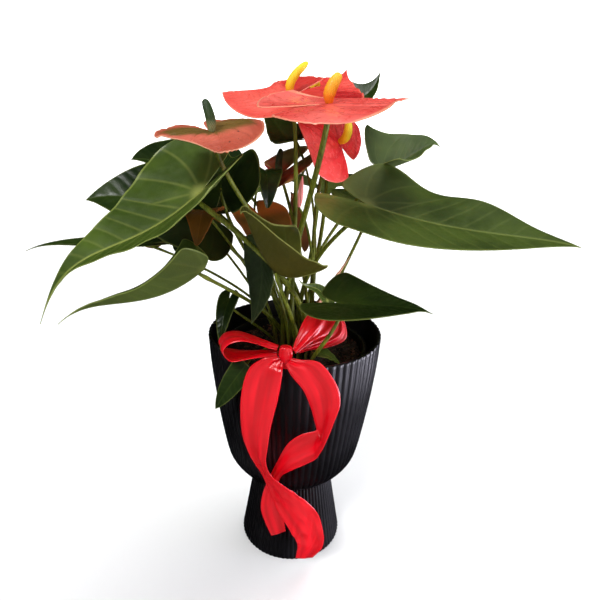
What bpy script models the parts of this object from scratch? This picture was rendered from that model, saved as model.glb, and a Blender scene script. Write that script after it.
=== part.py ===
"""Potted anthurium: heart-shaped leaves and red blooms in a fluted goblet pot with a satin bow.

Units are metres and +Z is up. The origin is the middle of the flat underside of the pot's foot.
The bow hangs over the rim at -Y, and the longest leaves reach out over -X and +X.
"""
import math
from dataclasses import dataclass

import bmesh
import bpy
import numpy as np
from mathutils import Vector, noise

# Driving dimensions of the pot
GAP = 0.0003
FLUTES = 70
FLUTE_DEPTH = 0.0008
POT_HEIGHT = 0.203
RIM_RADIUS = 0.0700
BOWL_BOTTOM = 0.0705
FOOT_RADIUS = 0.0449
SPIGOT_RADIUS = 0.0298
GROW_POT_TOP = 0.191
SOIL_TOP = 0.186
SOIL_BUMP = 0.0022

# Driving dimensions of the plant and of the bow
BLADE_THICKNESS = 0.0008
STEM_DEPTH = 0.014
RIBBON_THICKNESS = 0.0008

# Outlines turned round the Z axis, as (radius, height) from the top down the outside
BOWL_OUTSIDE = [
    (0.0, POT_HEIGHT), (RIM_RADIUS - 0.0008, POT_HEIGHT), (RIM_RADIUS, POT_HEIGHT - 0.0008),
    (0.0697, 0.1985), (0.0683, 0.1740), (0.0640, 0.1380), (0.0573, 0.0960), (0.0532, 0.0870),
    (0.0464, 0.0780),
    (0.0400, 0.0728), (0.0345, BOWL_BOTTOM), (SPIGOT_RADIUS, BOWL_BOTTOM),
    (SPIGOT_RADIUS, BOWL_BOTTOM - 0.0045), (0.0, BOWL_BOTTOM - 0.0045),
]
BOWL_INSIDE = [
    (0.0, POT_HEIGHT + 0.001), (0.0672, POT_HEIGHT + 0.001), (0.0664, 0.1985), (0.0650, 0.1740),
    (0.0606, 0.1380), (0.0566, 0.1100), (0.0538, 0.0970), (0.0493, 0.0880), (0.0430, 0.0800),
    (0.0385, 0.0760), (0.0, 0.0760),
]
FOOT_OUTSIDE = [
    (0.0, BOWL_BOTTOM - GAP), (0.0330, BOWL_BOTTOM - GAP), (0.0336, 0.0690),
    (FOOT_RADIUS, 0.0014), (FOOT_RADIUS - 0.001, 0.0), (0.0, 0.0),
]
FOOT_INSIDE = [
    (0.0, BOWL_BOTTOM + 0.001), (SPIGOT_RADIUS + GAP, BOWL_BOTTOM + 0.001),
    (SPIGOT_RADIUS + GAP, 0.0640), (0.0415, 0.0028), (0.0, 0.0028),
]
GROW_POT = [
    (0.0, 0.0778), (0.0366, 0.0778), (0.0558, GROW_POT_TOP - 0.003), (0.0558, GROW_POT_TOP),
    (0.0588, GROW_POT_TOP), (0.0588, GROW_POT_TOP - 0.003), (0.0572, GROW_POT_TOP - 0.003),
    (0.0380, 0.0763), (0.0, 0.0763),
]
SOIL = [
    (0.0, SOIL_TOP), (0.010, SOIL_TOP), (0.021, SOIL_TOP), (0.033, SOIL_TOP),
    (0.045, SOIL_TOP), (0.0549, SOIL_TOP - 0.002), (0.0362, 0.0781), (0.0, 0.0781),
]


@dataclass(frozen=True)
class Blade:
    """A heart-shaped blade, as it grows from the top of its stem at base towards tip.

    The pairs belong to the blade's two halves. roll turns it about its midrib, fold raises each half,
    lobe is how far a half reaches back behind the stem as a share of the length, lift raises that
    lobe, wave is how far its edge swings up and down, and droop arches the outer half before it falls
    to the tip. lean bends the stem sideways, and rise is how steeply it reaches the blade. Angles are
    in degrees.
    """
    name: str
    base: tuple
    tip: tuple
    width: float
    foot: tuple
    lean: tuple = (0.0, 0.0)
    arch: float = 0.0
    sweep: float = 0.0
    roll: float = 0.0
    fold: tuple = (10, 10)
    lobe: tuple = (0.25, 0.25)
    lift: tuple = (0, 0)
    wave: tuple = (0.0, 0.0)
    droop: float = 0.0
    power: float = 1.6
    taper: float = 1.3
    stem: float = 0.0016
    rise: float = 0.25
    cells: tuple = (6, 7)
    colour: str = "leaf"
    spadix: tuple = None
    spadix_radius: float = 0.0028


LEAVES = [
    Blade(
        "leaf_left_large", (-0.061, -0.065, 0.323), (-0.16, -0.094, 0.244), 0.103, (0.004, -0.0165),
        lean=(0.03, -0.03), sweep=-0.004, roll=17, fold=(19, 18), lobe=(0.27, 0.31), lift=(8, 1),
        droop=0.019, power=1.5, taper=1.45, stem=0.0019,
    ),
    Blade(
        "leaf_right_large", (0.047, -0.031, 0.312), (0.184, -0.063, 0.293), 0.1, (0.008, -0.005),
        lean=(-0.025, 0.014), arch=-0.003, sweep=0.005, roll=-17, fold=(6, 9), lobe=(0.17, 0.24),
        wave=(0.0042, 0.0), droop=0.003, power=1.85, taper=1.15, stem=0.0019,
    ),
    Blade(
        "leaf_right_upper", (0.069, 0.044, 0.326), (0.113, 0.049, 0.344), 0.088, (0.003, 0.0015),
        lean=(-0.019, 0.0), arch=-0.002, roll=-24, fold=(16, 31), lobe=(0.19, 0.32), lift=(11, 10),
        droop=0.006, power=1.7, taper=1.2,
    ),
    Blade(
        "leaf_left_low", (-0.059, -0.074, 0.276), (-0.15, -0.092, 0.243), 0.059, (-0.006, -0.009),
        lean=(-0.004, 0.012), arch=-0.009, roll=-9, fold=(48, 37), lobe=(0.08, 0.07), lift=(-5, 12),
        droop=0.01, power=1.15, taper=1.5,
    ),
    Blade(
        "leaf_right_low", (0.03, -0.053, 0.247), (0.096, -0.055, 0.241), 0.086, (0.009, -0.046),
        lean=(0.006, -0.014), arch=0.002, sweep=0.003, roll=-1, fold=(6, 7), lobe=(0.22, 0.39),
        lift=(5, 0), droop=0.002, power=1.5, taper=1.4,
    ),
    Blade(
        "leaf_left_upper", (-0.068, -0.007, 0.297), (-0.151, -0.019, 0.308), 0.094, (0.0035, -0.0035),
        lean=(-0.004, 0.0), arch=0.008, sweep=-0.002, roll=31, fold=(4, 21), droop=0.002, power=1.7,
        taper=1.1,
    ),
    Blade(
        "leaf_left_rear", (-0.064, 0.053, 0.309), (-0.128, 0.021, 0.332), 0.095, (-0.0085, -0.0045),
        lean=(0.002, 0.021), arch=-0.002, sweep=0.006, roll=27, fold=(12, 19), droop=0.003, power=1.7,
        taper=1.1,
    ),
    Blade(
        "leaf_left_heart", (-0.054, -0.019, 0.317), (-0.054, 0.011, 0.349), 0.08, (0.002, -0.008),
        lean=(-0.018, 0.0), arch=0.004, roll=15, fold=(12, 24), lobe=(0.45, 0.41), lift=(0, 5),
        droop=-0.011, power=1.7, taper=1.25,
    ),
    Blade(
        "leaf_centre_folded", (-0.012, -0.069, 0.272), (-0.033, -0.092, 0.316), 0.083, (0.003, -0.0215),
        lean=(0.002, -0.019), arch=-0.003, sweep=0.002, roll=18, fold=(27, 39), lobe=(0.12, 0.3),
        lift=(8, 15), droop=0.008, power=1.5, taper=1.35,
    ),
    Blade(
        "leaf_centre_hanging", (-0.026, -0.038, 0.282), (-0.032, -0.043, 0.225), 0.044, (-0.005, -0.0225),
        lean=(0.004, 0.0), arch=-0.004, sweep=-0.002, roll=1, fold=(8, 7), lobe=(0.15, 0.15),
        lift=(14, -11), power=1.75, taper=1.15, stem=0.0012, cells=(6, 5),
    ),
    Blade(
        "leaf_bronze_centre", (-0.03, 0.005, 0.296), (-0.018, -0.01, 0.251), 0.058, (0.0005, -0.0125),
        lean=(0.001, -0.03), arch=0.006, roll=6, fold=(6, 11), lobe=(0.24, 0.22), lift=(-4, 0),
        droop=-0.003, stem=0.0012, cells=(6, 5), colour="bronze",
    ),
    Blade(
        "leaf_bronze_left", (-0.078, 0.046, 0.28), (-0.122, 0.008, 0.272), 0.063, (-0.0155, -0.004),
        lean=(0.001, 0.003), arch=0.007, sweep=0.009, roll=8, fold=(10, 19), droop=-0.014, power=1.7,
        taper=1.2, stem=0.0012, cells=(6, 5), colour="bronze",
    ),
    Blade(
        "leaf_left_dark", (-0.07, 0.036, 0.296), (-0.094, 0.01, 0.265), 0.049, (0.0055, -0.0115),
        lean=(0.023, -0.019), arch=0.017, roll=5, fold=(7, 15), droop=-0.014, stem=0.0012,
        cells=(6, 5),
    ),
    Blade(
        "leaf_left_small", (-0.063, -0.041, 0.307), (-0.066, -0.065, 0.29), 0.028, (-0.014, -0.0125),
        lean=(0.0, 0.015), arch=0.011, sweep=-0.003, roll=-2, fold=(10, 2), lobe=(0.2, 0.2),
        lift=(0, -7), droop=-0.007, stem=0.0011, cells=(4, 5),
    ),
    Blade(
        "leaf_left_far", (-0.11, -0.01, 0.275), (-0.201, -0.018, 0.269), 0.044, (-0.0115, 0.0),
        lean=(0.003, 0.026), fold=(9, 9), droop=0.004, stem=0.0012, cells=(6, 5),
    ),
    Blade(
        "leaf_rear_top", (0.033, 0.106, 0.367), (0.069, 0.107, 0.401), 0.066, (-0.0065, 0.001),
        lean=(-0.027, 0.03), sweep=0.006, roll=-48, fold=(8, 36), lobe=(0.3, 0.3),
        droop=-0.004, power=1.7, taper=1.25, cells=(6, 5),
    ),
    Blade(
        "leaf_under_bloom", (-0.001, 0.048, 0.347), (-0.032, 0.066, 0.364), 0.048, (0.009, -0.0005),
        lean=(0.017, 0.014), arch=-0.007, roll=16, fold=(7, 15), lift=(5, 0), droop=0.01, stem=0.0012,
        cells=(6, 5),
    ),
    Blade(
        "leaf_centre_dark", (-0.026, 0.024, 0.326), (-0.023, 0.006, 0.301), 0.027, (-0.0025, -0.0055),
        lean=(-0.029, 0.007), arch=0.012, sweep=0.003, roll=14, fold=(11, 21), lobe=(0.2, 0.2),
        droop=-0.007, stem=0.0011, cells=(4, 5),
    ),
    Blade(
        "leaf_rear_narrow", (0.003, 0.033, 0.266), (-0.005, 0.028, 0.301), 0.032, (-0.002, -0.001),
        lean=(-0.005, 0.002), arch=0.002, sweep=0.004, fold=(2, 2), lobe=(0.2, 0.2), lift=(-8, -3),
        droop=0.013, stem=0.0011, cells=(4, 5),
    ),
    Blade(
        "leaf_rim_left", (-0.049, -0.031, 0.24), (-0.054, -0.049, 0.206), 0.016, (-0.012, -0.0075),
        lean=(-0.014, 0.002), arch=0.005, fold=(11, 11), lobe=(0.2, 0.2), stem=0.0011, cells=(4, 5),
    ),
    Blade(
        "leaf_rim_front", (-0.033, -0.067, 0.2052), (-0.058, -0.058, 0.162), 0.018, (-0.0085, -0.018),
        lean=(-0.002, 0.002), arch=0.003, roll=80, fold=(8, 8), lobe=(0.0, 0.0), power=2.2, taper=0.9,
        stem=0.0011, rise=-0.3, cells=(4, 5),
    ),
    Blade(
        "leaf_rim_right", (0.018, -0.041, 0.2025), (0.0355, -0.043, 0.192), 0.018, (0.0135, -0.006),
        lean=(0.007, 0.007), arch=0.002, fold=(8, 8), lobe=(0.2, 0.2), stem=0.0011, cells=(4, 5),
    ),
    Blade(
        "leaf_right_small", (0.024, -0.02, 0.236), (0.002, -0.027, 0.255), 0.012, (-0.0015, -0.0195),
        lean=(-0.002, -0.007), sweep=0.005, roll=50, fold=(3, 17), lobe=(0.2, 0.2), droop=-0.004,
        stem=0.0011, cells=(4, 5),
    ),
    Blade(
        "leaf_rear_left", (-0.043, 0.099, 0.294), (-0.091, 0.169, 0.267), 0.086, (-0.006, 0.006),
        lean=(0.021, -0.005), fold=(12, 12), lobe=(0.3, 0.3), droop=0.011, cells=(6, 5),
    ),
    Blade(
        "leaf_rear_middle", (0.018, 0.093, 0.305), (0.03, 0.166, 0.272), 0.084, (-0.0005, 0.005),
        lean=(0.008, 0.013), fold=(12, 12), lobe=(0.3, 0.3), droop=0.012, cells=(6, 5),
    ),
    Blade(
        "leaf_rear_right", (0.059, 0.045, 0.297), (0.119, 0.1, 0.291), 0.079, (0.0135, -0.0145),
        lean=(0.0095, 0.018), fold=(12, 12), lobe=(0.3, 0.3), droop=0.01, cells=(6, 5),
    ),
    Blade(
        "leaf_peach_sheath", (0.018, -0.008, 0.226), (0.0405, -0.008, 0.268), 0.009, (0.009, -0.017),
        lean=(0.008, 0.009), fold=(35, 35), lobe=(0.1, 0.1), stem=0.0011, cells=(4, 5),
        colour="sheath",
    ),
]
BLOOMS = [
    Blade(
        "front", (0.013, -0.064, 0.376), (0.071, -0.041, 0.38), 0.091, (-0.009, -0.013),
        lean=(-0.007, 0.0055), arch=0.001, roll=-4, fold=(-6, 0), lobe=(0.6, 0.6), lift=(12, -5),
        power=2.2, taper=2.0, stem=0.0022, cells=(8, 8), colour="red",
        spadix=(0.023, -0.062, 0.393), spadix_radius=0.0034,
    ),
    Blade(
        "old", (-0.0545, -0.062, 0.36), (-0.044, -0.098, 0.351), 0.071, (0.007, 0.0045),
        lean=(0.012, 0.012), sweep=-0.005, roll=-7, fold=(3, 11), lobe=(0.42, 0.42), lift=(-8, -3),
        droop=-0.002, power=1.65, taper=1.23, stem=0.0018, cells=(6, 6), colour="old",
        spadix=(-0.0565, -0.063, 0.3775),
    ),
    Blade(
        "left", (-0.002, 0.009, 0.382), (-0.058, 0.026, 0.381), 0.079, (-0.0035, -0.015),
        lean=(0.0, -0.014), arch=-0.002, sweep=-0.01, roll=23, fold=(2, -3), lobe=(0.35, 0.35),
        droop=0.002, power=1.7, taper=1.2, stem=0.0018, cells=(6, 6), colour="red",
        spadix=(0.005, 0.011, 0.402), spadix_radius=0.0029,
    ),
    Blade(
        "low", (0.033, 0.033, 0.344), (0.0, 0.052, 0.377), 0.091, (0.014, -0.0005),
        lean=(-0.001, -0.005), arch=0.006, sweep=-0.003, roll=5, fold=(-3, -1), lobe=(0.42, 0.28),
        lift=(2, -5), droop=-0.004, power=1.8, taper=1.0, stem=0.0018, cells=(6, 6), colour="red",
        spadix=(0.036, 0.021, 0.364), spadix_radius=0.0032,
    ),
    Blade(
        "rear", (0.01, 0.051, 0.381), (0.04, 0.113, 0.402), 0.082, (0.003, 0.0085),
        lean=(0.024, 0.016), arch=-0.002, sweep=0.002, roll=-15, fold=(4, 9), lobe=(0.15, 0.4),
        lift=(-14, 2), droop=-0.004, stem=0.0018, cells=(6, 6), colour="red",
        spadix=(0.007, 0.028, 0.386),
    ),
    Blade(
        "young", (-0.012, 0.038, 0.323), (-0.032, 0.045, 0.326), 0.042, (0.0105, -0.0105),
        lean=(0.005, 0.0), arch=-0.002, sweep=-0.011, roll=26, fold=(7, 16), lobe=(0.7, 0.72),
        lift=(-3, 3), cells=(6, 6), colour="dark_red", spadix=(-0.014, 0.039, 0.341),
        spadix_radius=0.0026,
    ),
]
SPADIX_COLOURS = {
    "front": "yellow", "old": "green_spadix", "left": "yellow", "low": "yellow", "rear": "yellow",
    "young": "green_spadix",
}
BUD = Blade(
    "bud", (0.001, 0.01, 0.301), (0.003, 0.01, 0.324), 0.004, (0.009, -0.0215),
    lean=(0.0145, 0.01), fold=(5, 5), lobe=(0.0, 0.0), stem=0.0012, spadix_radius=0.0023,
)

# Each station of a ribbon is its two edges, in millimetres, from the knot outwards
LEFT_TAIL = [
    ((-12, -74.3, 216), (-8, -74.3, 211)), ((-22, -76, 214), (-8, -76, 208)),
    ((-32, -76, 204), (-8, -79, 203)), ((-37, -76, 181), (-11, -76, 182)),
    ((-37, -69, 151), (-16, -79, 159)), ((-32, -65, 130), (-19, -81, 143)),
    ((-27, -63, 116), (-20, -80, 131)), ((-22, -61, 102), (-15, -79, 118)),
    ((-17, -63, 87), (-2, -75, 103)), ((-8, -68, 71), (12, -68, 85)),
    ((1, -67, 52), (23, -65, 67)), ((6, -67, 40), (28, -59, 34)),
    ((5, -62, 20), (20, -50, 9)),
]
RIGHT_TAIL = [
    ((-5, -74.3, 209), (-2, -74.3, 214)), ((-4, -76, 206), (5, -76, 214)),
    ((-1, -77, 201), (18, -76, 212)), ((7, -77, 190), (30, -76, 195)),
    ((13, -71, 172), (33, -79, 181)), ((18, -69, 155), (28, -84, 168)),
    ((21, -69, 148), (22, -87, 154)), ((19, -70, 154), (19, -84, 144)),
    ((15, -71, 153), (16, -77, 132)), ((5, -71, 149), (10, -72, 124)),
    ((-4, -69, 139), (0, -69, 116)), ((-11, -66, 122), (-7, -64, 107)),
    ((-17, -60, 103), (-10, -60, 97)), ((-23, -58, 83), (-10, -58, 83)),
    ((-24, -56, 63), (-7, -56, 64)), ((-16, -54, 36), (-4, -54, 42)),
]
LEFT_LOOP = [
    ((-11.9, -63, 216), (-11.9, -69, 218)), ((-22, -58, 219), (-21, -74, 222)),
    ((-30, -55, 222), (-29, -77, 225)), ((-39, -54, 224), (-36, -78, 227)),
    ((-48, -54, 222), (-44, -78, 226)), ((-53, -54, 216), (-49, -77, 221)),
    ((-51, -55, 212), (-48, -77, 216)), ((-46, -56, 211), (-43, -77, 212)),
    ((-39, -57, 211), (-37, -77, 212)), ((-30, -58, 212), (-29, -76, 213)),
    ((-22, -60, 213), (-21, -73, 214)), ((-11.9, -63, 213), (-11.9, -69, 213.5)),
]
RIGHT_LOOP = [
    ((0, -67, 217.5), (0.5, -66.5, 214)), ((2, -61, 224), (11, -57, 217)),
    ((5, -54, 231), (23, -51, 221)), ((9, -47, 235), (30, -45, 227)),
    ((15, -40, 239), (31, -37, 233)), ((23, -31, 237), (35, -27, 227)),
    ((27, -28, 231), (39, -26, 216)), ((25, -31, 221), (38, -30, 208)),
    ((16, -39, 214), (27, -38, 206)), ((6, -50, 212), (12, -49, 208)),
    ((1, -59, 213), (3, -58, 210)),
]
KNOT_SIZE = (0.011, 0.009, 0.0175)
KNOT_AT = (-0.0060, -0.0690, POT_HEIGHT + GAP + KNOT_SIZE[2] / 2)

COLOURS = {
    "pot": ((0.020, 0.021, 0.024), 0.45),
    "grow_pot": ((0.012, 0.012, 0.012), 0.55),
    "soil": ((0.055, 0.032, 0.020), 0.95),
    "leaf": ((0.050, 0.110, 0.030), 0.35),
    "bronze": ((0.190, 0.085, 0.030), 0.35),
    "sheath": ((0.560, 0.240, 0.150), 0.55),
    "stalk": ((0.160, 0.220, 0.050), 0.45),
    "red": ((0.800, 0.060, 0.060), 0.30),
    "old": ((0.650, 0.210, 0.150), 0.40),
    "dark_red": ((0.330, 0.060, 0.030), 0.40),
    "pink": ((0.620, 0.200, 0.190), 0.45),
    "yellow": ((0.900, 0.560, 0.050), 0.60),
    "green_spadix": ((0.140, 0.200, 0.060), 0.60),
    "ribbon": ((0.800, 0.005, 0.020), 0.30),
}


def clear_scene():
    for obj in list(bpy.data.objects):
        bpy.data.objects.remove(obj, do_unlink=True)


def material(key):
    name = "anthurium_" + key
    found = bpy.data.materials.get(name)
    if found:
        return found
    colour, roughness = COLOURS[key]
    made = bpy.data.materials.new(name)
    made.use_nodes = True
    shader = made.node_tree.nodes["Principled BSDF"]
    shader.inputs["Base Color"].default_value = (*colour, 1.0)
    shader.inputs["Roughness"].default_value = roughness
    shader.inputs["Metallic"].default_value = 0.0
    return made


def link(name, mesh, collection, colour):
    obj = bpy.data.objects.new(name, mesh)
    collection.objects.link(obj)
    mesh.materials.clear()
    mesh.materials.append(material(colour))
    return obj


def evaluated_mesh(obj):
    """The object's mesh with its modifiers applied, welded and with its faces pointing out."""
    graph = bpy.context.evaluated_depsgraph_get()
    graph.update()
    mesh = bpy.data.meshes.new_from_object(obj.evaluated_get(graph))
    bm = bmesh.new()
    bm.from_mesh(mesh)
    bmesh.ops.remove_doubles(bm, verts=bm.verts[:], dist=1e-6)
    bmesh.ops.recalc_face_normals(bm, faces=bm.faces[:])
    bm.to_mesh(mesh)
    bm.free()
    return mesh


def baked(obj, collection, colour):
    """Replaces an object by a plain mesh object of the same name."""
    mesh = evaluated_mesh(obj)
    mesh.transform(obj.matrix_world)
    name = obj.name
    bpy.data.objects.remove(obj, do_unlink=True)
    mesh.name = name
    return link(name, mesh, collection, colour)


def turned(name, outline, steps, collection, colour):
    """A solid of revolution from an outline that starts and ends on the axis."""
    mesh = bpy.data.meshes.new(name)
    points = [(r, 0.0, z) for r, z in outline]
    mesh.from_pydata(points, [(i, i + 1) for i in range(len(points) - 1)], [])
    obj = link(name, mesh, collection, colour)
    screw = obj.modifiers.new("Turn", "SCREW")
    screw.steps = steps
    screw.render_steps = steps
    screw.use_merge_vertices = True
    screw.merge_threshold = 0.0001
    return baked(obj, collection, colour)


def flute(obj, low, high):
    """Presses every second line of points inwards, which leaves the upright ribs between."""
    for vertex in obj.data.vertices:
        radius = math.hypot(vertex.co.x, vertex.co.y)
        turn = round(math.atan2(vertex.co.y, vertex.co.x) / (math.pi / FLUTES))
        if radius > 0.031 and low < vertex.co.z < high and turn % 2:
            scale = (radius - FLUTE_DEPTH) / radius
            vertex.co.x *= scale
            vertex.co.y *= scale


def cut(obj, cutters, collection, colour):
    """Cuts all the cutters out of the object and removes them."""
    for index, cutter in enumerate(cutters):
        cutter.hide_render = True
        cutter.display_type = "WIRE"
        boolean = obj.modifiers.new("Cut%d" % index, "BOOLEAN")
        boolean.operation = "DIFFERENCE"
        boolean.solver = "EXACT"
        boolean.object = cutter
    obj = baked(obj, collection, colour)
    for cutter in cutters:
        bpy.data.objects.remove(cutter, do_unlink=True)
    return obj


def fuse(name, pieces, collection, colour):
    """One solid from a list of overlapping closed ones."""
    obj = pieces[0]
    obj.name = name
    for index, piece in enumerate(pieces[1:]):
        boolean = obj.modifiers.new("Join%d" % index, "BOOLEAN")
        boolean.operation = "UNION"
        boolean.solver = "EXACT"
        boolean.object = piece
    obj = baked(obj, collection, colour)
    for piece in pieces[1:]:
        bpy.data.objects.remove(piece, do_unlink=True)
    return obj


def tube(name, points, radii, collection, colour, resolution=1):
    """A round stem along a line of points, closed at both ends."""
    curve = bpy.data.curves.new(name, "CURVE")
    curve.dimensions = "3D"
    curve.bevel_depth = 1.0
    curve.bevel_resolution = resolution
    curve.use_fill_caps = True
    spline = curve.splines.new("POLY")
    spline.points.add(len(points) - 1)
    for point, place, radius in zip(spline.points, points, radii):
        point.co = (*place, 1.0)
        point.radius = radius
    obj = bpy.data.objects.new(name, curve)
    collection.objects.link(obj)
    return baked(obj, collection, colour)


def unit(vector):
    return vector / np.linalg.norm(vector)


def blade_points(blade, u, v):
    """Points of a blade's middle surface.

    u runs from -1 to 1 across it and v from 0 at its stem to 1 at its tip.
    """
    base = np.array(blade.base)
    chord = np.array(blade.tip) - base
    length = np.linalg.norm(chord)
    ahead = chord / length
    side = unit(np.cross(ahead, (0.0, 0.0, 1.0)))
    up = np.cross(side, ahead)
    roll = math.radians(blade.roll)
    side, up = side * math.cos(roll) + up * math.sin(roll), up * math.cos(roll) - side * math.sin(roll)
    across = np.abs(u)

    def by_half(pair):
        return np.where(u < 0, pair[0], pair[1])

    half_width = 0.5 * blade.width * np.clip(1 - v ** blade.power, 0, 1) ** blade.taper
    heart = np.sqrt(np.clip(1 - across ** 2, 0, 1)) * (1 - np.clip(1 - across / 0.3, 0, 1) ** 2)
    along = v - by_half(blade.lobe) * heart * (1 - v) ** 2.2
    rise = np.radians(by_half(blade.fold) + by_half(blade.lift) * (1 - v) ** 3)

    def midrib(t):
        inner = np.clip(t, 0, None)
        arch = 4 * blade.arch * t * (1 - inner)
        sweep = 4 * blade.sweep * t * (1 - inner)
        place = base + np.multiply.outer(t * length, ahead)
        place = place + np.multiply.outer(arch, up) + np.multiply.outer(sweep, side)
        outer = np.clip(t, 0, 1)
        place[..., 2] += 2.6 * blade.droop * (outer ** 2 - outer ** 6)
        return place

    tangent = midrib(along + 0.001) - midrib(along - 0.001)
    tangent /= np.linalg.norm(tangent, axis=-1, keepdims=True)
    square = side - (tangent @ side)[..., None] * tangent
    square /= np.linalg.norm(square, axis=-1, keepdims=True)
    normal = np.cross(square, tangent)
    flat = u * half_width * np.cos(rise)
    high = across * half_width * np.sin(rise)
    swing = np.cos(2 * math.pi * (v - 0.6) / 0.6) * (1 - v ** 3)
    high = high + by_half(blade.wave) * across ** 3 * swing
    return midrib(along) + square * flat[..., None] + normal * high[..., None]


def blade_normal(blade, v):
    """The direction square to a blade's upper face, on its midrib."""
    u = np.array([-0.02, 0.02, 0.0, 0.0])
    left, right, behind, ahead = blade_points(blade, u, np.array([v, v, v - 0.02, v + 0.02]))
    return unit(np.cross(right - left, ahead - behind))


def sheet(name, place, across, along, thickness, collection, colour):
    """A thin closed sheet, laid out by place(u, v) from a flat grid and thickened on both sides."""
    bm = bmesh.new()
    bmesh.ops.create_grid(bm, x_segments=across, y_segments=along, size=1.0)
    bmesh.ops.triangulate(bm, faces=bm.faces[:], quad_method="ALTERNATE")
    u = np.array([v.co.x for v in bm.verts])
    v = np.array([(v.co.y + 1) / 2 for v in bm.verts])
    for vertex, where in zip(bm.verts, place(u, v)):
        vertex.co = Vector(where)
    bmesh.ops.remove_doubles(bm, verts=bm.verts[:], dist=1e-5)
    mesh = bpy.data.meshes.new(name)
    bm.to_mesh(mesh)
    bm.free()
    obj = link(name, mesh, collection, colour)
    solidify = obj.modifiers.new("Thickness", "SOLIDIFY")
    solidify.thickness = thickness
    solidify.offset = 0.0
    return baked(obj, collection, colour)


def blade_sheet(name, blade, collection, colour):
    def place(u, v):
        return blade_points(blade, np.sin(0.5 * math.pi * u), v)

    return sheet(name, place, *blade.cells, BLADE_THICKNESS, collection, colour)


def stem_points(blade, end, arrive, count):
    """A stem's line, straight up out of its hole in the soil and then over to end.

    arrive is where the last stretch comes from, measured from end.
    """
    foot = np.array([*blade.foot, SOIL_TOP + 0.003])
    lean = np.array([*blade.lean, 0.0])
    first = foot + np.array([0.0, 0.0, max(0.35 * (end[2] - foot[2]), 0.012)]) + 0.6 * lean
    second = end + arrive + lean
    t = np.linspace(0, 1, count)[:, None]
    line = (1 - t) ** 3 * foot + 3 * t * (1 - t) ** 2 * first + 3 * t * t * (1 - t) * second + t ** 3 * end
    start = np.array([[foot[0], foot[1], SOIL_TOP - STEM_DEPTH]])
    return np.concatenate([start, line])


def leaf(blade, collection):
    """A leaf: its blade and its stalk in one piece."""
    normal = blade_normal(blade, 0.06)
    if normal[2] < 0:
        normal = -normal
    middle = blade_points(blade, np.zeros(2), np.array([0.04, 0.10]))
    end = middle[0] - 0.0003 * normal
    reach = end - np.array([*blade.foot, SOIL_TOP])
    arrive = -np.array([0.30 * reach[0], 0.30 * reach[1], blade.rise * reach[2]])
    line = stem_points(blade, end, arrive, 8 if blade.cells[0] > 4 else 6)
    radii = np.linspace(blade.stem, 0.75 * blade.stem, len(line))
    pieces = [
        blade_sheet(blade.name, blade, collection, blade.colour),
        tube(blade.name + "_stalk", line, radii, collection, blade.colour, int(blade.stem > 0.0015)),
    ]
    return fuse(blade.name, pieces, collection, blade.colour)


def bloom(blade, spadix_colour, collection):
    """A bloom: its stalk, its spathe and its spadix, each a piece of its own colour."""
    normal = blade_normal(blade, 0.07)
    seat = blade_points(blade, np.zeros(1), np.array([0.07]))[0]
    end = seat - (BLADE_THICKNESS / 2 + 0.0005) * normal
    neck = end - 0.004 * normal
    reach = neck - np.array([*blade.foot, SOIL_TOP])
    arrive = -0.15 * np.linalg.norm(reach) * normal - np.array([0.0, 0.0, 0.12 * reach[2]])
    line = np.concatenate([stem_points(blade, neck, arrive, 8), [end]])
    radii = np.linspace(blade.stem, 0.8 * blade.stem, len(line))
    prefix = "bloom_" + blade.name
    tube(prefix + "_stalk", line, radii, collection, "stalk")
    blade_sheet(prefix + "_spathe", blade, collection, blade.colour)
    root = seat + (BLADE_THICKNESS / 2 + 0.0007) * normal
    top = np.array(blade.spadix)
    second = root + 0.003 * normal
    share = np.array([0.0, 0.2, 0.4, 0.6, 0.8, 0.92, 1.0])[:, None]
    line = np.concatenate([[root], second * (1 - share) + top * share])
    shape = [0.62, 0.85, 1.0, 1.02, 0.98, 0.90, 0.74, 0.42]
    radii = [blade.spadix_radius * value for value in shape]
    tube(prefix + "_spadix", line, radii, collection, spadix_colour, 2)


def bud(collection):
    """A rolled young spathe on its own green stalk."""
    low = np.array(BUD.base)
    high = np.array(BUD.tip)
    ahead = unit(high - low)
    line = stem_points(BUD, low - 0.0008 * ahead, -0.02 * ahead, 7)
    tube("bloom_bud_stalk", line, np.linspace(BUD.stem, 0.8 * BUD.stem, len(line)), collection, "stalk")
    share = np.array([0.0, 0.12, 0.3, 0.5, 0.7, 0.86, 1.0])[:, None]
    shape = [0.45, 0.85, 1.0, 0.95, 0.75, 0.45, 0.20]
    radii = [BUD.spadix_radius * value for value in shape]
    tube("bloom_bud_spathe", low * (1 - share) + high * share, radii, collection, "pink", 2)


def smooth_row(rows, t):
    """A point on the smooth line through rows, at t from 0 to 1, for an array of t."""
    rows = np.array(rows, dtype=float)
    last = len(rows) - 1
    place = np.clip(t, 0, 1) * last
    index = np.minimum(place.astype(int), last - 1)
    part = (place - index)[:, None]
    before = rows[np.maximum(index - 1, 0)]
    start = rows[index]
    end = rows[index + 1]
    after = rows[np.minimum(index + 2, last)]
    bend = 2 * before - 5 * start + 4 * end - after
    twist = 3 * start - before - 3 * end + after
    return start + 0.5 * part * (end - before + part * (bend + part * twist))


def ribbon(name, stations, rows, collection):
    """A band of ribbon between the two edges that its stations give."""
    left = [station[0] for station in stations]
    right = [station[1] for station in stations]

    def place(u, v):
        share = ((u + 1) / 2)[:, None]
        return 0.001 * ((1 - share) * smooth_row(left, v) + share * smooth_row(right, v))

    return sheet(name, place, 2, rows, RIBBON_THICKNESS, collection, "ribbon")


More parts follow.
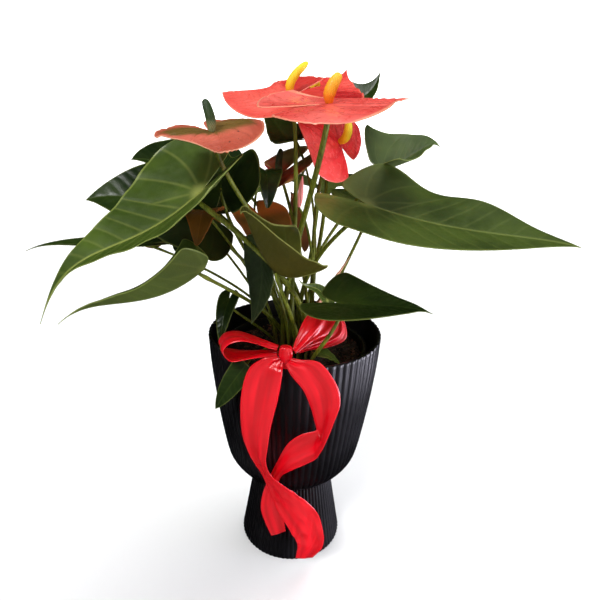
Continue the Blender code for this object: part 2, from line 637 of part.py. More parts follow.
def knot(collection):
    """The small gathered knot in the middle of the bow."""
    bm = bmesh.new()
    bmesh.ops.create_cube(bm, size=1.0)
    bmesh.ops.scale(bm, vec=KNOT_SIZE, verts=bm.verts[:])
    bmesh.ops.translate(bm, vec=KNOT_AT, verts=bm.verts[:])
    mesh = bpy.data.meshes.new("ribbon_knot")
    bm.to_mesh(mesh)
    bm.free()
    obj = link("ribbon_knot", mesh, collection, "ribbon")
    bevel = obj.modifiers.new("Round", "BEVEL")
    bevel.width = 0.003
    bevel.segments = 2
    return baked(obj, collection, "ribbon")


def pot(collection):
    bowl = turned("pot_bowl", BOWL_OUTSIDE, 2 * FLUTES, collection, "pot")
    flute(bowl, 0.0725, POT_HEIGHT + 0.001)
    cut(bowl, [turned("bowl_inside", BOWL_INSIDE, 36, collection, "pot")], collection, "pot")
    foot = turned("pot_foot", FOOT_OUTSIDE, 2 * FLUTES, collection, "pot")
    flute(foot, 0.0010, 0.0692)
    cut(foot, [turned("foot_inside", FOOT_INSIDE, 36, collection, "pot")], collection, "pot")
    turned("grow_pot", GROW_POT, 32, collection, "grow_pot")


def soil(stems, collection):
    """Potting mix with a bumpy top and a plain hole for each stem."""
    ground = turned("soil", SOIL, 32, collection, "soil")
    for vertex in ground.data.vertices:
        if vertex.co.z > SOIL_TOP - 0.001 and math.hypot(vertex.co.x, vertex.co.y) < 0.050:
            vertex.co.z += SOIL_BUMP * noise.noise(vertex.co * 70.0)
    cutters = []
    for index, (foot, radius) in enumerate(stems):
        bm = bmesh.new()
        bmesh.ops.create_cone(
            bm, cap_ends=True, segments=6, radius1=radius, radius2=radius, depth=STEM_DEPTH + 0.006
        )
        middle = SOIL_TOP - STEM_DEPTH - GAP + (STEM_DEPTH + 0.006) / 2
        bmesh.ops.translate(bm, vec=(*foot, middle), verts=bm.verts[:])
        mesh = bpy.data.meshes.new("stem_hole_%d" % index)
        bm.to_mesh(mesh)
        bm.free()
        cutters.append(link(mesh.name, mesh, collection, "soil"))
    cut(ground, [fuse("stem_holes", cutters, collection, "soil")], collection, "soil")


def main():
    clear_scene()
    collection = bpy.data.collections.new("potted_anthurium")
    bpy.context.scene.collection.children.link(collection)
    pot(collection)
    stems = [(blade.foot, 1.18 * blade.stem + GAP) for blade in LEAVES + BLOOMS + [BUD]]
    soil(stems, collection)
    for blade in LEAVES:
        leaf(blade, collection)
    for blade in BLOOMS:
        bloom(blade, SPADIX_COLOURS[blade.name], collection)
    bud(collection)
    ribbon("ribbon_left_tail", LEFT_TAIL, 24, collection)
    ribbon("ribbon_right_tail", RIGHT_TAIL, 28, collection)
    ribbon("ribbon_left_loop", LEFT_LOOP, 18, collection)
    ribbon("ribbon_right_loop", RIGHT_LOOP, 18, collection)
    knot(collection)


main()
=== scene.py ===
"""Dresses the potted anthurium: glossy heart-shaped leaves and red blooms in a fluted goblet pot with a bow.

Units are metres and +Z is up. The origin is the middle of the flat underside of the pot's foot. Each leaf,
bloom, pot part and length of ribbon is a finer piece that stands for the solid of the same name.
"""
from __future__ import annotations

import logging
import math
import random
import sys
from dataclasses import dataclass, field
from enum import Enum
from typing import Any, Callable, Sequence

import bmesh
import bpy
import numpy as np
from mathutils import Matrix, Vector, noise

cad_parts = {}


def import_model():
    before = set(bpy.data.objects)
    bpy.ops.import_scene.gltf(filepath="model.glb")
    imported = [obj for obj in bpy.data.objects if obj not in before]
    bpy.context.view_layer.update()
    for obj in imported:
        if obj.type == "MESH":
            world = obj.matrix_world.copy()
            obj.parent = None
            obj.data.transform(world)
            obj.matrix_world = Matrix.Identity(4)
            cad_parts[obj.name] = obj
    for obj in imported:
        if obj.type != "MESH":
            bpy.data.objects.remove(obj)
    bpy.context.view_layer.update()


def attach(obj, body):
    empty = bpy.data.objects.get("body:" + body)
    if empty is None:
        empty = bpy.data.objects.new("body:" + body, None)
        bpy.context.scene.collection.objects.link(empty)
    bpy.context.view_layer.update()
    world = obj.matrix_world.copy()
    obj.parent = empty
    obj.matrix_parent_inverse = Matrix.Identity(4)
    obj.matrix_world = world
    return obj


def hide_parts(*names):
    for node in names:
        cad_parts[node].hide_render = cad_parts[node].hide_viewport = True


LOG = logging.getLogger("anthurium")

Colour = tuple[float, float, float]
Pair = tuple[float, float]
Point = tuple[float, float, float]
Placer = Callable[[np.ndarray, np.ndarray], np.ndarray]
Socket = bpy.types.NodeSocket

# Sizes in metres.
SOIL_TOP = 0.186
RIBBON_WIDTH = 0.025
RIBBON_THICKNESS = 0.0003
BLADE_THICKNESS = 0.0005
# How many faces go round a stalk, and across and along a length of ribbon.
STALK_SIDES = 14
RIBBON_FACES = (20, 200)
# The margin that a piece without an edge is given, in millimetres.
NO_EDGE = 20.0
# Where a blade's stalk is in its UV map, and how long the blade is there, across and along.
CHART_BASE = (0.5, 0.45)
CHART_SCALE = (0.45, 0.5)
# The side veins: how they lean and curve off the midrib, where they start, their spacing, and how much of
# the spacing is measured square to them. Shares of the blade's length.
VEIN_LEAN = 0.7
VEIN_CURVE = 1.2
VEIN_START = 0.12
VEIN_STEP = 0.115
VEIN_SQUARE = 0.75
# The veins that fan out behind the stalk: their angles in radians, and how they twist away from it.
FAN = (0.75, 1.35, 2.0, 2.7)
FAN_TWIST = 0.9


# ---------------------------------------------------------------------------------------------------------
# Shader trees
# ---------------------------------------------------------------------------------------------------------


class Shader:
    """Builds the node tree of one finish."""

    def __init__(self, name: str) -> None:
        """Starts an empty finish.

        Args:
            name: The material's name.
        """
        self.material = bpy.data.materials.new(name)
        self.material.use_nodes = True
        self.tree = self.material.node_tree
        self.surface = self.tree.nodes["Principled BSDF"]

    def node(self, kind: str, **settings: Any) -> bpy.types.Node:
        """Adds a node.

        Args:
            kind: The node's type.
            settings: Values of its own properties.

        Returns:
            The new node.
        """
        made = self.tree.nodes.new(kind)
        for key, value in settings.items():
            setattr(made, key, value)
        return made

    def put(self, socket: Socket, value: Any) -> None:
        """Links a socket to another one, or sets it to a number or colour.

        Args:
            socket: The socket.
            value: Another socket, a number or a colour.
        """
        if isinstance(value, Socket):
            self.tree.links.new(value, socket)
        elif isinstance(value, tuple) and len(value) == 3 and socket.type == "RGBA":
            socket.default_value = (*value, 1.0)
        else:
            socket.default_value = value

    def math(self, operation: str, first: Any, second: Any = 0.0) -> Socket:
        """Adds a Math node.

        Args:
            operation: The operation's name.
            first: The first number or socket.
            second: The second number or socket.

        Returns:
            The result's socket.
        """
        made = self.node("ShaderNodeMath", operation=operation)
        self.put(made.inputs[0], first)
        self.put(made.inputs[1], second)
        return made.outputs[0]

    def times(self, first: Any, second: Any) -> Socket:
        """Multiplies two numbers or sockets."""
        return self.math("MULTIPLY", first, second)

    def plus(self, first: Any, second: Any) -> Socket:
        """Adds two numbers or sockets."""
        return self.math("ADD", first, second)

    def minus(self, first: Any, second: Any) -> Socket:
        """Takes the second number or socket from the first one."""
        return self.math("SUBTRACT", first, second)

    def smooth(self, value: Any, low: float, high: float, start: float = 0.0, end: float = 1.0) -> Socket:
        """Turns a value smoothly into another one.

        Args:
            value: The value.
            low: Where the change starts.
            high: Where the change ends.
            start: The result at low.
            end: The result at high.

        Returns:
            The result's socket.
        """
        made = self.node("ShaderNodeMapRange", interpolation_type="SMOOTHSTEP")
        for socket, number in zip(made.inputs[:5], (value, low, high, start, end)):
            self.put(socket, number)
        return made.outputs[0]

    def mix(self, factor: Any, first: Any, second: Any, blend: str = "MIX") -> Socket:
        """Mixes two colours.

        Args:
            factor: How much of the second one is used.
            first: The first colour.
            second: The second colour.
            blend: How they are mixed.

        Returns:
            The mixed colour's socket.
        """
        made = self.node("ShaderNodeMix", data_type="RGBA", blend_type=blend)
        self.put(made.inputs[0], factor)
        self.put(made.inputs[6], first)
        self.put(made.inputs[7], second)
        return made.outputs[2]

    def place(self, kind: str = "Object") -> Socket:
        """Returns a coordinate socket, of the object or of its UV map."""
        return self.node("ShaderNodeTexCoord").outputs[kind]

    def split(self, vector: Socket) -> bpy.types.bpy_prop_collection:
        """Takes a vector apart.

        Args:
            vector: The vector's socket.

        Returns:
            The sockets of its three parts.
        """
        made = self.node("ShaderNodeSeparateXYZ")
        self.put(made.inputs[0], vector)
        return made.outputs

    def attribute(self, name: str) -> Socket:
        """Returns the value of one of the mesh's own attributes."""
        return self.node("ShaderNodeAttribute", attribute_name=name).outputs["Fac"]

    def stretched(self, vector: Socket, scale: Point) -> Socket:
        """Scales a pattern's coordinates along each axis.

        Args:
            vector: The coordinates.
            scale: The scale along each axis.

        Returns:
            The scaled coordinates' socket.
        """
        made = self.node("ShaderNodeMapping")
        self.put(made.inputs["Vector"], vector)
        made.inputs["Scale"].default_value = scale
        return made.outputs[0]

    def pattern(self, kind: str, scale: float, vector: Any = None, **settings: Any) -> bpy.types.Node:
        """Adds a texture.

        Args:
            kind: The node's type.
            scale: How many patches or cells there are in a metre.
            vector: Where it is read, by default the object's coordinates.
            settings: Values of its own properties.

        Returns:
            The texture's node.
        """
        made = self.node(kind, **settings)
        self.put(made.inputs["Vector"], self.place() if vector is None else vector)
        made.inputs["Scale"].default_value = scale
        return made

    def noise(self, scale: float, detail: float = 3.0, vector: Any = None) -> Socket:
        """Returns a noise pattern's value.

        Args:
            scale: How many patches there are in a metre.
            detail: How many finer layers it has.
            vector: Where it is read, by default the object's coordinates.

        Returns:
            The value's socket.
        """
        made = self.pattern("ShaderNodeTexNoise", scale, vector)
        made.inputs["Detail"].default_value = detail
        return made.outputs[0]

    def cells(self, scale: float, vector: Any = None, feature: str = "F1") -> Socket:
        """Returns the distance in a pattern of cells, from their middles or from their edges."""
        return self.pattern("ShaderNodeTexVoronoi", scale, vector, feature=feature).outputs["Distance"]

    def bump(self, height: Any, strength: float, distance: float) -> None:
        """Adds a bump to the surface, on top of those it already has.

        Args:
            height: The pattern's height.
            strength: How strong it is, from 0 to 1.
            distance: How high it is, in metres.
        """
        made = self.node("ShaderNodeBump")
        made.inputs["Strength"].default_value = strength
        made.inputs["Distance"].default_value = distance
        self.put(made.inputs["Height"], height)
        links = self.surface.inputs["Normal"].links
        if links:
            self.put(made.inputs["Normal"], links[0].from_socket)
        self.put(self.surface.inputs["Normal"], made.outputs[0])

    def finish(self, **values: Any) -> bpy.types.Material:
        """Sets the surface's own sockets.

        Args:
            values: What each one is set to, with underscores for the spaces in its name.

        Returns:
            The material.
        """
        for key, value in values.items():
            self.put(self.surface.inputs[key.replace("_", " ")], value)
        return self.material


# ---------------------------------------------------------------------------------------------------------
# Mesh helpers
# ---------------------------------------------------------------------------------------------------------


def unit(vector: np.ndarray) -> np.ndarray:
    """Returns the vector at length one."""
    return vector / np.linalg.norm(vector)


def lay(
    name: str,
    across: int,
    along: int,
    place: Placer,
    chart: Placer | None = None,
    margin: Placer | None = None,
    weld: float = 1e-5,
) -> bpy.types.Mesh:
    """Lays a flat grid out in space.

    Args:
        name: The mesh's name.
        across: How many faces it has from u = -1 to u = 1.
        along: How many faces it has from v = 0 to v = 1.
        place: Gives the points in space for arrays of u and v.
        chart: Gives the points of the UV map for the same arrays.
        margin: Gives how many millimetres each point is from the piece's edge.
        weld: How close points are made one.

    Returns:
        A mesh with a UV map and a margin attribute.
    """
    grid = bmesh.new()
    bmesh.ops.create_grid(grid, x_segments=across, y_segments=along, size=1.0)
    mesh = bpy.data.meshes.new(name)
    grid.to_mesh(mesh)
    grid.free()
    count = len(mesh.vertices)
    flat = np.empty(count * 3)
    mesh.vertices.foreach_get("co", flat)
    u, v = flat[0::3].copy(), (flat[1::3] + 1) / 2
    mesh.vertices.foreach_set("co", place(u, v).astype(np.float32).ravel())
    corner = np.empty(len(mesh.loops), dtype=np.int32)
    mesh.loops.foreach_get("vertex_index", corner)
    points = np.column_stack([(u + 1) / 2, v]) if chart is None else chart(u, v)
    layer = mesh.uv_layers.new(name="UVMap")
    layer.data.foreach_set("uv", points[corner].astype(np.float32).ravel())
    away = np.full(count, NO_EDGE) if margin is None else margin(u, v)
    mesh.attributes.new("margin", "FLOAT", "POINT").data.foreach_set("value", away.astype(np.float32))
    soft = bmesh.new()
    soft.from_mesh(mesh)
    bmesh.ops.remove_doubles(soft, verts=soft.verts[:], dist=weld)
    bmesh.ops.dissolve_degenerate(soft, edges=soft.edges[:], dist=weld / 10)
    for face in soft.faces:
        face.smooth = True
    soft.to_mesh(mesh)
    soft.free()
    return mesh


def closed(mesh: bpy.types.Mesh, fill: bool = False) -> bpy.types.Mesh:
    """Turns the faces of a closed mesh outwards.

    Args:
        mesh: The mesh.
        fill: Whether its open ends are filled first.

    Returns:
        The same mesh.
    """
    whole = bmesh.new()
    whole.from_mesh(mesh)
    if fill:
        bmesh.ops.holes_fill(whole, edges=whole.edges[:], sides=0)
    bmesh.ops.recalc_face_normals(whole, faces=whole.faces[:])
    whole.to_mesh(mesh)
    whole.free()
    return mesh


def outward(line: np.ndarray) -> Placer:
    """Finds the directions out of a line, square to it.

    Args:
        line: The points of the line.

    Returns:
        A function that gives the directions for arrays of turns, from -1 to 1, and of the points' numbers.
    """
    ahead = np.gradient(line, axis=0)
    ahead /= np.linalg.norm(ahead, axis=1, keepdims=True)
    side = np.cross(ahead, (0.0, 1.0, 0.15))
    side /= np.linalg.norm(side, axis=1, keepdims=True)
    other = np.cross(side, ahead)

    def out(u: np.ndarray, row: np.ndarray) -> np.ndarray:
        """Gives the directions."""
        turn = math.pi * u
        return side[row] * np.cos(turn)[:, None] + other[row] * np.sin(turn)[:, None]

    return out


def pipe(name: str, line: np.ndarray, radii: np.ndarray, sides: int = STALK_SIDES) -> bpy.types.Mesh:
    """Makes a round closed stem along a line.

    Args:
        name: The mesh's name.
        line: The points of its middle.
        radii: Its radius at each point.
        sides: How many sides it has.

    Returns:
        The mesh, whose UV map runs round it and along it.
    """
    out = outward(line)
    last = len(line) - 1

    def place(u: np.ndarray, v: np.ndarray) -> np.ndarray:
        """Gives the points of the stem's skin."""
        row = np.rint(v * last).astype(int)
        return line[row] + out(u, row) * radii[row][:, None]

    return closed(lay(name, sides, last, place), fill=True)


def thicken(mesh: bpy.types.Mesh, thickness: float, offset: float = 0.0) -> bpy.types.Mesh:
    """Gives a sheet its thickness, with the second slot on the side that its normals leave.

    Args:
        mesh: The sheet.
        thickness: How thick it becomes.
        offset: Which way it grows, from -1 to 1.

    Returns:
        The closed mesh.
    """
    holder = bpy.data.objects.new("holder", mesh)
    bpy.context.scene.collection.objects.link(holder)
    while len(mesh.materials) < 2:
        mesh.materials.append(None)
    solid = holder.modifiers.new("Thickness", "SOLIDIFY")
    solid.thickness = thickness
    solid.offset = offset
    solid.material_offset = 1
    graph = bpy.context.evaluated_depsgraph_get()
    graph.update()
    made = bpy.data.meshes.new_from_object(holder.evaluated_get(graph))
    bpy.data.objects.remove(holder, do_unlink=True)
    return joined(mesh.name, [(made, 0)])


def joined(name: str, parts: Sequence[tuple[bpy.types.Mesh, int]]) -> bpy.types.Mesh:
    """Puts meshes together.

    Args:
        name: The new mesh's name.
        parts: The meshes, and the number that each one's slots are moved up by.

    Returns:
        The new mesh.
    """
    whole = bmesh.new()
    for mesh, slot in parts:
        start = len(whole.faces)
        whole.from_mesh(mesh)
        whole.faces.ensure_lookup_table()
        for face in whole.faces[start:]:
            face.material_index += slot
    mesh = bpy.data.meshes.new(name)
    whole.to_mesh(mesh)
    whole.free()
    return mesh


def piece(
    name: str,
    mesh: bpy.types.Mesh,
    finishes: Sequence[bpy.types.Material],
    slot: str,
    *nodes: str,
) -> bpy.types.Object:
    """Makes a finished piece that rides with the plant.

    Args:
        name: The piece's name.
        mesh: Its mesh.
        finishes: Its materials.
        slot: The name of its finish's slot. Not used.
        nodes: The solids that it stands for.

    Returns:
        The piece.
    """
    mesh.name = name
    for finish in finishes:
        mesh.materials.append(finish)
    made = bpy.data.objects.new(name, mesh)
    bpy.context.scene.collection.objects.link(made)
    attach(made, "root")
    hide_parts(*nodes)
    LOG.info("%s: %d faces", name, len(mesh.polygons))
    return made


def through(rows: Sequence[Sequence[float]], share: np.ndarray) -> np.ndarray:
    """Draws a smooth line through rows.

    Args:
        rows: The points that it runs through.
        share: Where it is wanted, from 0 at the first row to 1 at the last one.

    Returns:
        Its points.
    """
    table = np.array(rows, dtype=float)
    last = len(table) - 1
    spot = np.clip(share, 0, 1) * last
    index = np.minimum(spot.astype(int), last - 1)
    part = (spot - index)[:, None]
    before = table[np.maximum(index - 1, 0)]
    start = table[index]
    end = table[index + 1]
    after = table[np.minimum(index + 2, last)]
    bend = 2 * before - 5 * start + 4 * end - after
    twist = 3 * start - before - 3 * end + after
    return start + 0.5 * part * (end - before + part * (bend + part * twist))


def soft_noise(points: np.ndarray, scale: float, seed: float = 0.0) -> np.ndarray:
    """Returns a smooth noise value from about -1 to 1 at each point."""
    shift = Vector((seed, 2 * seed, 3 * seed))
    return np.array([noise.noise(Vector(point) * scale + shift) for point in points.reshape(-1, 3)])


# ---------------------------------------------------------------------------------------------------------
# Finishes
# ---------------------------------------------------------------------------------------------------------


def paint(red: int, green: int, blue: int) -> Colour:
    """Turns a screen colour into a linear one.

    Args:
        red: Its red part, from 0 to 255.
        green: Its green part.
        blue: Its blue part.

    Returns:
        The linear colour.
    """
    parts = [value / 255 for value in (red, green, blue)]
    red_part, green_part, blue_part = (
        value / 12.92 if value <= 0.04045 else ((value + 0.055) / 1.055) ** 2.4 for value in parts
    )
    return red_part, green_part, blue_part


@dataclass(frozen=True)
class BladeFinish:
    """The skin of a leaf or spathe, whose veins follow its UV map.

    The UV map holds the flattened blade: (0.5 + 0.45 y, 0.45 + 0.5 x), where x runs along the midrib from
    0 at the stalk to 1 at the tip, and y runs across in the same unit. lobe is the colour near the stalk,
    from lobe_starts along the blade and lobe_inset millimetres in from the edge; on the fresh leaves it is
    painted light, and on the rose spathe painted shade. patches, grain, net and
    dots are the scales of the patterns: soft patches, fine grain, the net between the veins, and specks.
    """

    name: str
    deep: Colour
    bright: Colour
    vein: Colour
    rim: Colour
    under: Colour
    under_vein: Colour
    lobe: Colour | None = None
    vein_strength: float = 0.6
    vein_width: float = 0.012
    roughness: float = 0.38
    under_roughness: float = 0.5
    coat: float = 0.15
    shine: float = 0.5
    patches: float = 28.0
    grain: float = 260.0
    net: float = 46.0
    dots: float = 170.0
    lobe_starts: float = -0.04
    lobe_inset: float = -9.0
    specks: Colour | None = None

    def side(self, upper: bool) -> bpy.types.Material:
        """Makes the finish of one side.

        Args:
            upper: Whether it is the upper side.

        Returns:
            The material.
        """
        shader = Shader(f"{self.name}_{'top' if upper else 'under'}")
        uv = shader.split(shader.place("UV"))
        x = shader.math("DIVIDE", shader.minus(uv[1], CHART_BASE[1]), CHART_SCALE[1])
        y = shader.math("ABSOLUTE", shader.math("DIVIDE", shader.minus(uv[0], CHART_BASE[0]), CHART_SCALE[0]))
        lines = self.lines(shader, x, y)
        soft = shader.noise(self.patches, 4.0)
        fine = shader.noise(self.grain)
        margin = shader.attribute("margin")
        base = self.deep if upper else self.under
        light = self.bright if upper else tuple(min(1.0, value * 1.35) for value in self.under)
        colour = shader.mix(shader.smooth(soft, 0.36, 0.66), base, light)
        colour = shader.mix(shader.smooth(fine, 0.35, 0.75, 0.0, 0.22), colour, light)
        # The lobe colour near the stalk: painted light on the fresh leaves, painted shade on the rose spathe.
        if self.lobe is not None and upper:
            ragged = shader.plus(x, shader.times(shader.minus(soft, 0.5), 0.25))
            inner = shader.smooth(margin, self.lobe_inset, self.lobe_inset + 5.0)
            rear = shader.smooth(ragged, self.lobe_starts, self.lobe_starts - 0.2, 0.0, 0.85)
            colour = shader.mix(shader.times(rear, inner), colour, self.lobe)
        strength = self.vein_strength if upper else 0.5 * self.vein_strength
        vein = self.vein if upper else self.under_vein
        colour = shader.mix(shader.times(lines, strength), colour, vein)
        colour = shader.mix(shader.smooth(margin, 0.15, 0.8, 0.8, 0.0), colour, self.rim)
        if self.specks is not None:
            dots = shader.smooth(shader.cells(self.dots), 0.10, 0.15, 1.0, 0.0)
            rare = shader.smooth(shader.noise(60.0, 1.0), 0.50, 0.58)
            colour = shader.mix(shader.times(dots, rare), colour, self.specks)
        net = shader.cells(self.net, shader.place("UV"), "DISTANCE_TO_EDGE")
        shader.bump(shader.smooth(net, 0.0, 0.09), 0.09, 0.0003)
        shader.bump(fine, 0.12, 0.0003)
        gloss = self.roughness if upper else self.under_roughness
        rough = shader.smooth(fine, 0.3, 0.7, gloss - 0.05, gloss + 0.08)
        return shader.finish(
            Base_Color=colour,
            Roughness=rough,
            IOR=1.42,
            Specular_IOR_Level=self.shine if upper else self.shine * 0.7,
            Coat_Weight=self.coat if upper else self.coat * 0.3,
            Coat_Roughness=0.22,
        )

    def lines(self, shader: Shader, x: Any, y: Any) -> Socket:
        """Draws the veins.

        Args:
            shader: The finish that they belong to.
            x: The place along the blade.
            y: The distance from the midrib.

        Returns:
            A socket that is 1 on a vein and 0 between them.
        """
        width = self.vein_width
        curve = shader.plus(VEIN_LEAN, shader.times(y, VEIN_CURVE))
        lead = shader.minus(x, shader.times(y, curve))
        step = shader.plus(shader.math("DIVIDE", shader.minus(lead, VEIN_START), VEIN_STEP), 0.5)
        near = shader.math("ABSOLUTE", shader.minus(shader.math("FRACT", step), 0.5))
        near = shader.times(near, VEIN_SQUARE * VEIN_STEP)
        front = shader.smooth(lead, 0.02, 0.07)
        laterals = shader.times(shader.smooth(near, 0.0, width, 1.0, 0.0), front)
        away = shader.math("SQRT", shader.plus(shader.times(x, x), shader.times(y, y)))
        turn = shader.plus(shader.math("ARCTAN2", y, x), shader.times(away, FAN_TWIST))
        off: Any = 9.0
        for angle in FAN:
            gap = shader.math("ABSOLUTE", shader.minus(turn, angle))
            off = shader.math("MINIMUM", off, gap)
        off = shader.times(off, away)
        fan = shader.times(shader.smooth(off, 0.0, width * 1.15, 1.0, 0.0), shader.smooth(lead, 0.16, 0.10))
        middle = shader.smooth(y, 0.0, width * 1.2, 1.0, 0.0)
        middle = shader.times(middle, shader.smooth(x, -0.03, 0.02))
        knob = shader.smooth(away, 0.01, 0.075, 1.0, 0.0)
        both = shader.math("MAXIMUM", laterals, fan)
        both = shader.times(both, shader.smooth(away, 1.1, 0.1, 0.11, 0.28))
        return shader.math("MAXIMUM", shader.math("MAXIMUM", both, middle), knob)


@dataclass(frozen=True)
class StalkFinish:
    """The skin of a stalk, which is dry and brown near the soil.

    streaks and blotches are the scales of its patterns. It is dry up to the first of the two heights above
    the soil, and green from the second one on.
    """

    name: str = "stalk"
    green: Colour = paint(74, 84, 12)
    pale: Colour = paint(110, 118, 28)
    tint: Colour = paint(84, 62, 26)
    dry: Colour = paint(66, 48, 24)
    streaks: float = 900.0
    blotches: float = 45.0
    heights: Pair = (0.004, 0.030)

    def make(self) -> bpy.types.Material:
        """Makes the material, which has fine streaks along the stalk.

        Returns:
            The material.
        """
        shader = Shader(self.name)
        place = shader.place()
        parts = shader.split(place)
        streak = shader.noise(self.streaks, 3.0, shader.stretched(place, (1.0, 1.0, 0.06)))
        colour = shader.mix(shader.smooth(streak, 0.35, 0.65), self.green, self.pale)
        blotch = shader.smooth(shader.noise(self.blotches), 0.52, 0.72, 0.0, 0.6)
        colour = shader.mix(blotch, colour, self.tint)
        dry, green = (SOIL_TOP + height for height in self.heights)
        low = shader.smooth(parts[2], dry, green, 1.0, 0.0)
        colour = shader.mix(shader.times(low, 0.8), colour, self.dry)
        shader.bump(streak, 0.06, 0.0001)
        return shader.finish(Base_Color=colour, Roughness=0.5, Specular_IOR_Level=0.3)


@dataclass(frozen=True)
class SpadixFinish:
    """The skin of a spadix, which changes colour from its foot to its tip."""

    name: str
    foot: Colour
    middle: Colour
    tip: Colour
    # groove is the colour between the florets: painted shade.
    groove: Colour

    def make(self) -> bpy.types.Material:
        """Makes the material, with painted shade that darkens it between the florets.

        Returns:
            The material.
        """
        shader = Shader(self.name)
        share = shader.split(shader.place("UV"))[1]
        soft = shader.plus(share, shader.times(shader.minus(shader.noise(300.0), 0.5), 0.2))
        colour = shader.mix(shader.smooth(soft, 0.05, 0.5), self.foot, self.middle)
        colour = shader.mix(shader.smooth(soft, 0.5, 0.95), colour, self.tip)
        # Painted shade: the colour turns towards groove between the florets.
        sunk = shader.smooth(shader.attribute("margin"), 0.0, 0.75, 0.85, 0.0)
        colour = shader.mix(sunk, colour, self.groove)
        shader.bump(shader.noise(1800.0), 0.35, 0.0002)
        return shader.finish(Base_Color=colour, Roughness=0.55, Coat_Weight=0.05)


@dataclass(frozen=True)
class MouldedFinish:
    """Moulded plastic with a faint satin skin. scuffs and grain are the scales of its patterns."""

    name: str
    colour: Colour
    worn: Colour
    roughness: float
    scuffs: float = 18.0
    grain: float = 1500.0

    def make(self) -> bpy.types.Material:
        """Makes the material, which is a little paler where it is scuffed.

        Returns:
            The material.
        """
        shader = Shader(self.name)
        soft = shader.noise(self.scuffs, 4.0)
        grain = shader.noise(self.grain, 2.0)
        colour = shader.mix(shader.smooth(soft, 0.4, 0.7), self.colour, self.worn)
        colour = shader.mix(shader.smooth(grain, 0.45, 0.75, 0.0, 0.35), colour, self.worn)
        shader.bump(grain, 0.12, 0.0001)
        rough = shader.smooth(soft, 0.3, 0.7, self.roughness - 0.05, self.roughness + 0.06)
        return shader.finish(Base_Color=colour, Roughness=rough, IOR=1.5)


@dataclass(frozen=True)
class MixFinish:
    """Potting mix and the bits of bark on it. The scales are those of its crumbs, patches and fibres."""

    name: str
    dark: Colour
    brown: Colour
    pale: Colour
    crumb_scale: float = 420.0
    patch_scale: float = 120.0
    fibre_scale: float = 650.0

    def make(self) -> bpy.types.Material:
        """Makes the material, with its fibres and crumbs.

        Returns:
            The material.
        """
        shader = Shader(self.name)
        crumbs = shader.cells(self.crumb_scale)
        soft = shader.noise(self.patch_scale, 5.0)
        colour = shader.mix(shader.smooth(soft, 0.38, 0.62), self.dark, self.brown)
        colour = shader.mix(shader.smooth(shader.noise(self.fibre_scale, 2.0), 0.58, 0.72), colour, self.pale)
        shader.bump(crumbs, 0.7, 0.0012)
        shader.bump(soft, 0.5, 0.001)
        return shader.finish(Base_Color=colour, Roughness=0.93)


@dataclass(frozen=True)
class SatinFinish:
    """Red satin ribbon, whose UV map is in centimetres. warp and weft are its threads in a centimetre."""

    name: str = "satin_ribbon"
    # deep and bright are the red in painted shade and under a painted sheen.
    deep: Colour = paint(196, 0, 14)
    bright: Colour = paint(234, 0, 26)
    selvage: Colour = paint(240, 14, 32)
    warp: float = 34.0
    weft: float = 26.0

    def make(self) -> bpy.types.Material:
        """Makes the material, with its weave, its sheen and its woven edges; part of the sheen and the shade
        of its folds are painted into the colour.

        Returns:
            The material.
        """
        shader = Shader(self.name)
        uv = shader.place("UV")
        parts = shader.split(uv)
        threads = shader.math("SINE", shader.times(parts[0], 2 * math.pi * self.warp))
        picks = shader.math("SINE", shader.times(parts[1], 2 * math.pi * self.weft))
        weave = shader.plus(threads, shader.times(picks, 0.5))
        soft = shader.noise(1.3, 2.0, shader.stretched(uv, (1.0, 0.12, 1.0)))
        # Painted shade and sheen: long soft streaks along the ribbon turn the red from deep to bright, like
        # light on satin folds.
        colour = shader.mix(shader.smooth(soft, 0.35, 0.7), self.deep, self.bright)
        # Painted sheen: the red turns brighter along the crests of the threads.
        colour = shader.mix(shader.smooth(weave, -1.0, 1.5, 0.0, 0.25), colour, self.bright)
        edge = shader.smooth(shader.attribute("margin"), 0.35, 0.8, 0.75, 0.0)
        colour = shader.mix(edge, colour, self.selvage)
        shader.bump(weave, 0.06, 0.00004)
        shader.bump(soft, 0.16, 0.0024)
        return shader.finish(
            Base_Color=colour,
            Roughness=0.31,
            Specular_IOR_Level=0.9,
            Specular_Tint=(1.0, 0.7, 0.72, 1.0),
        )


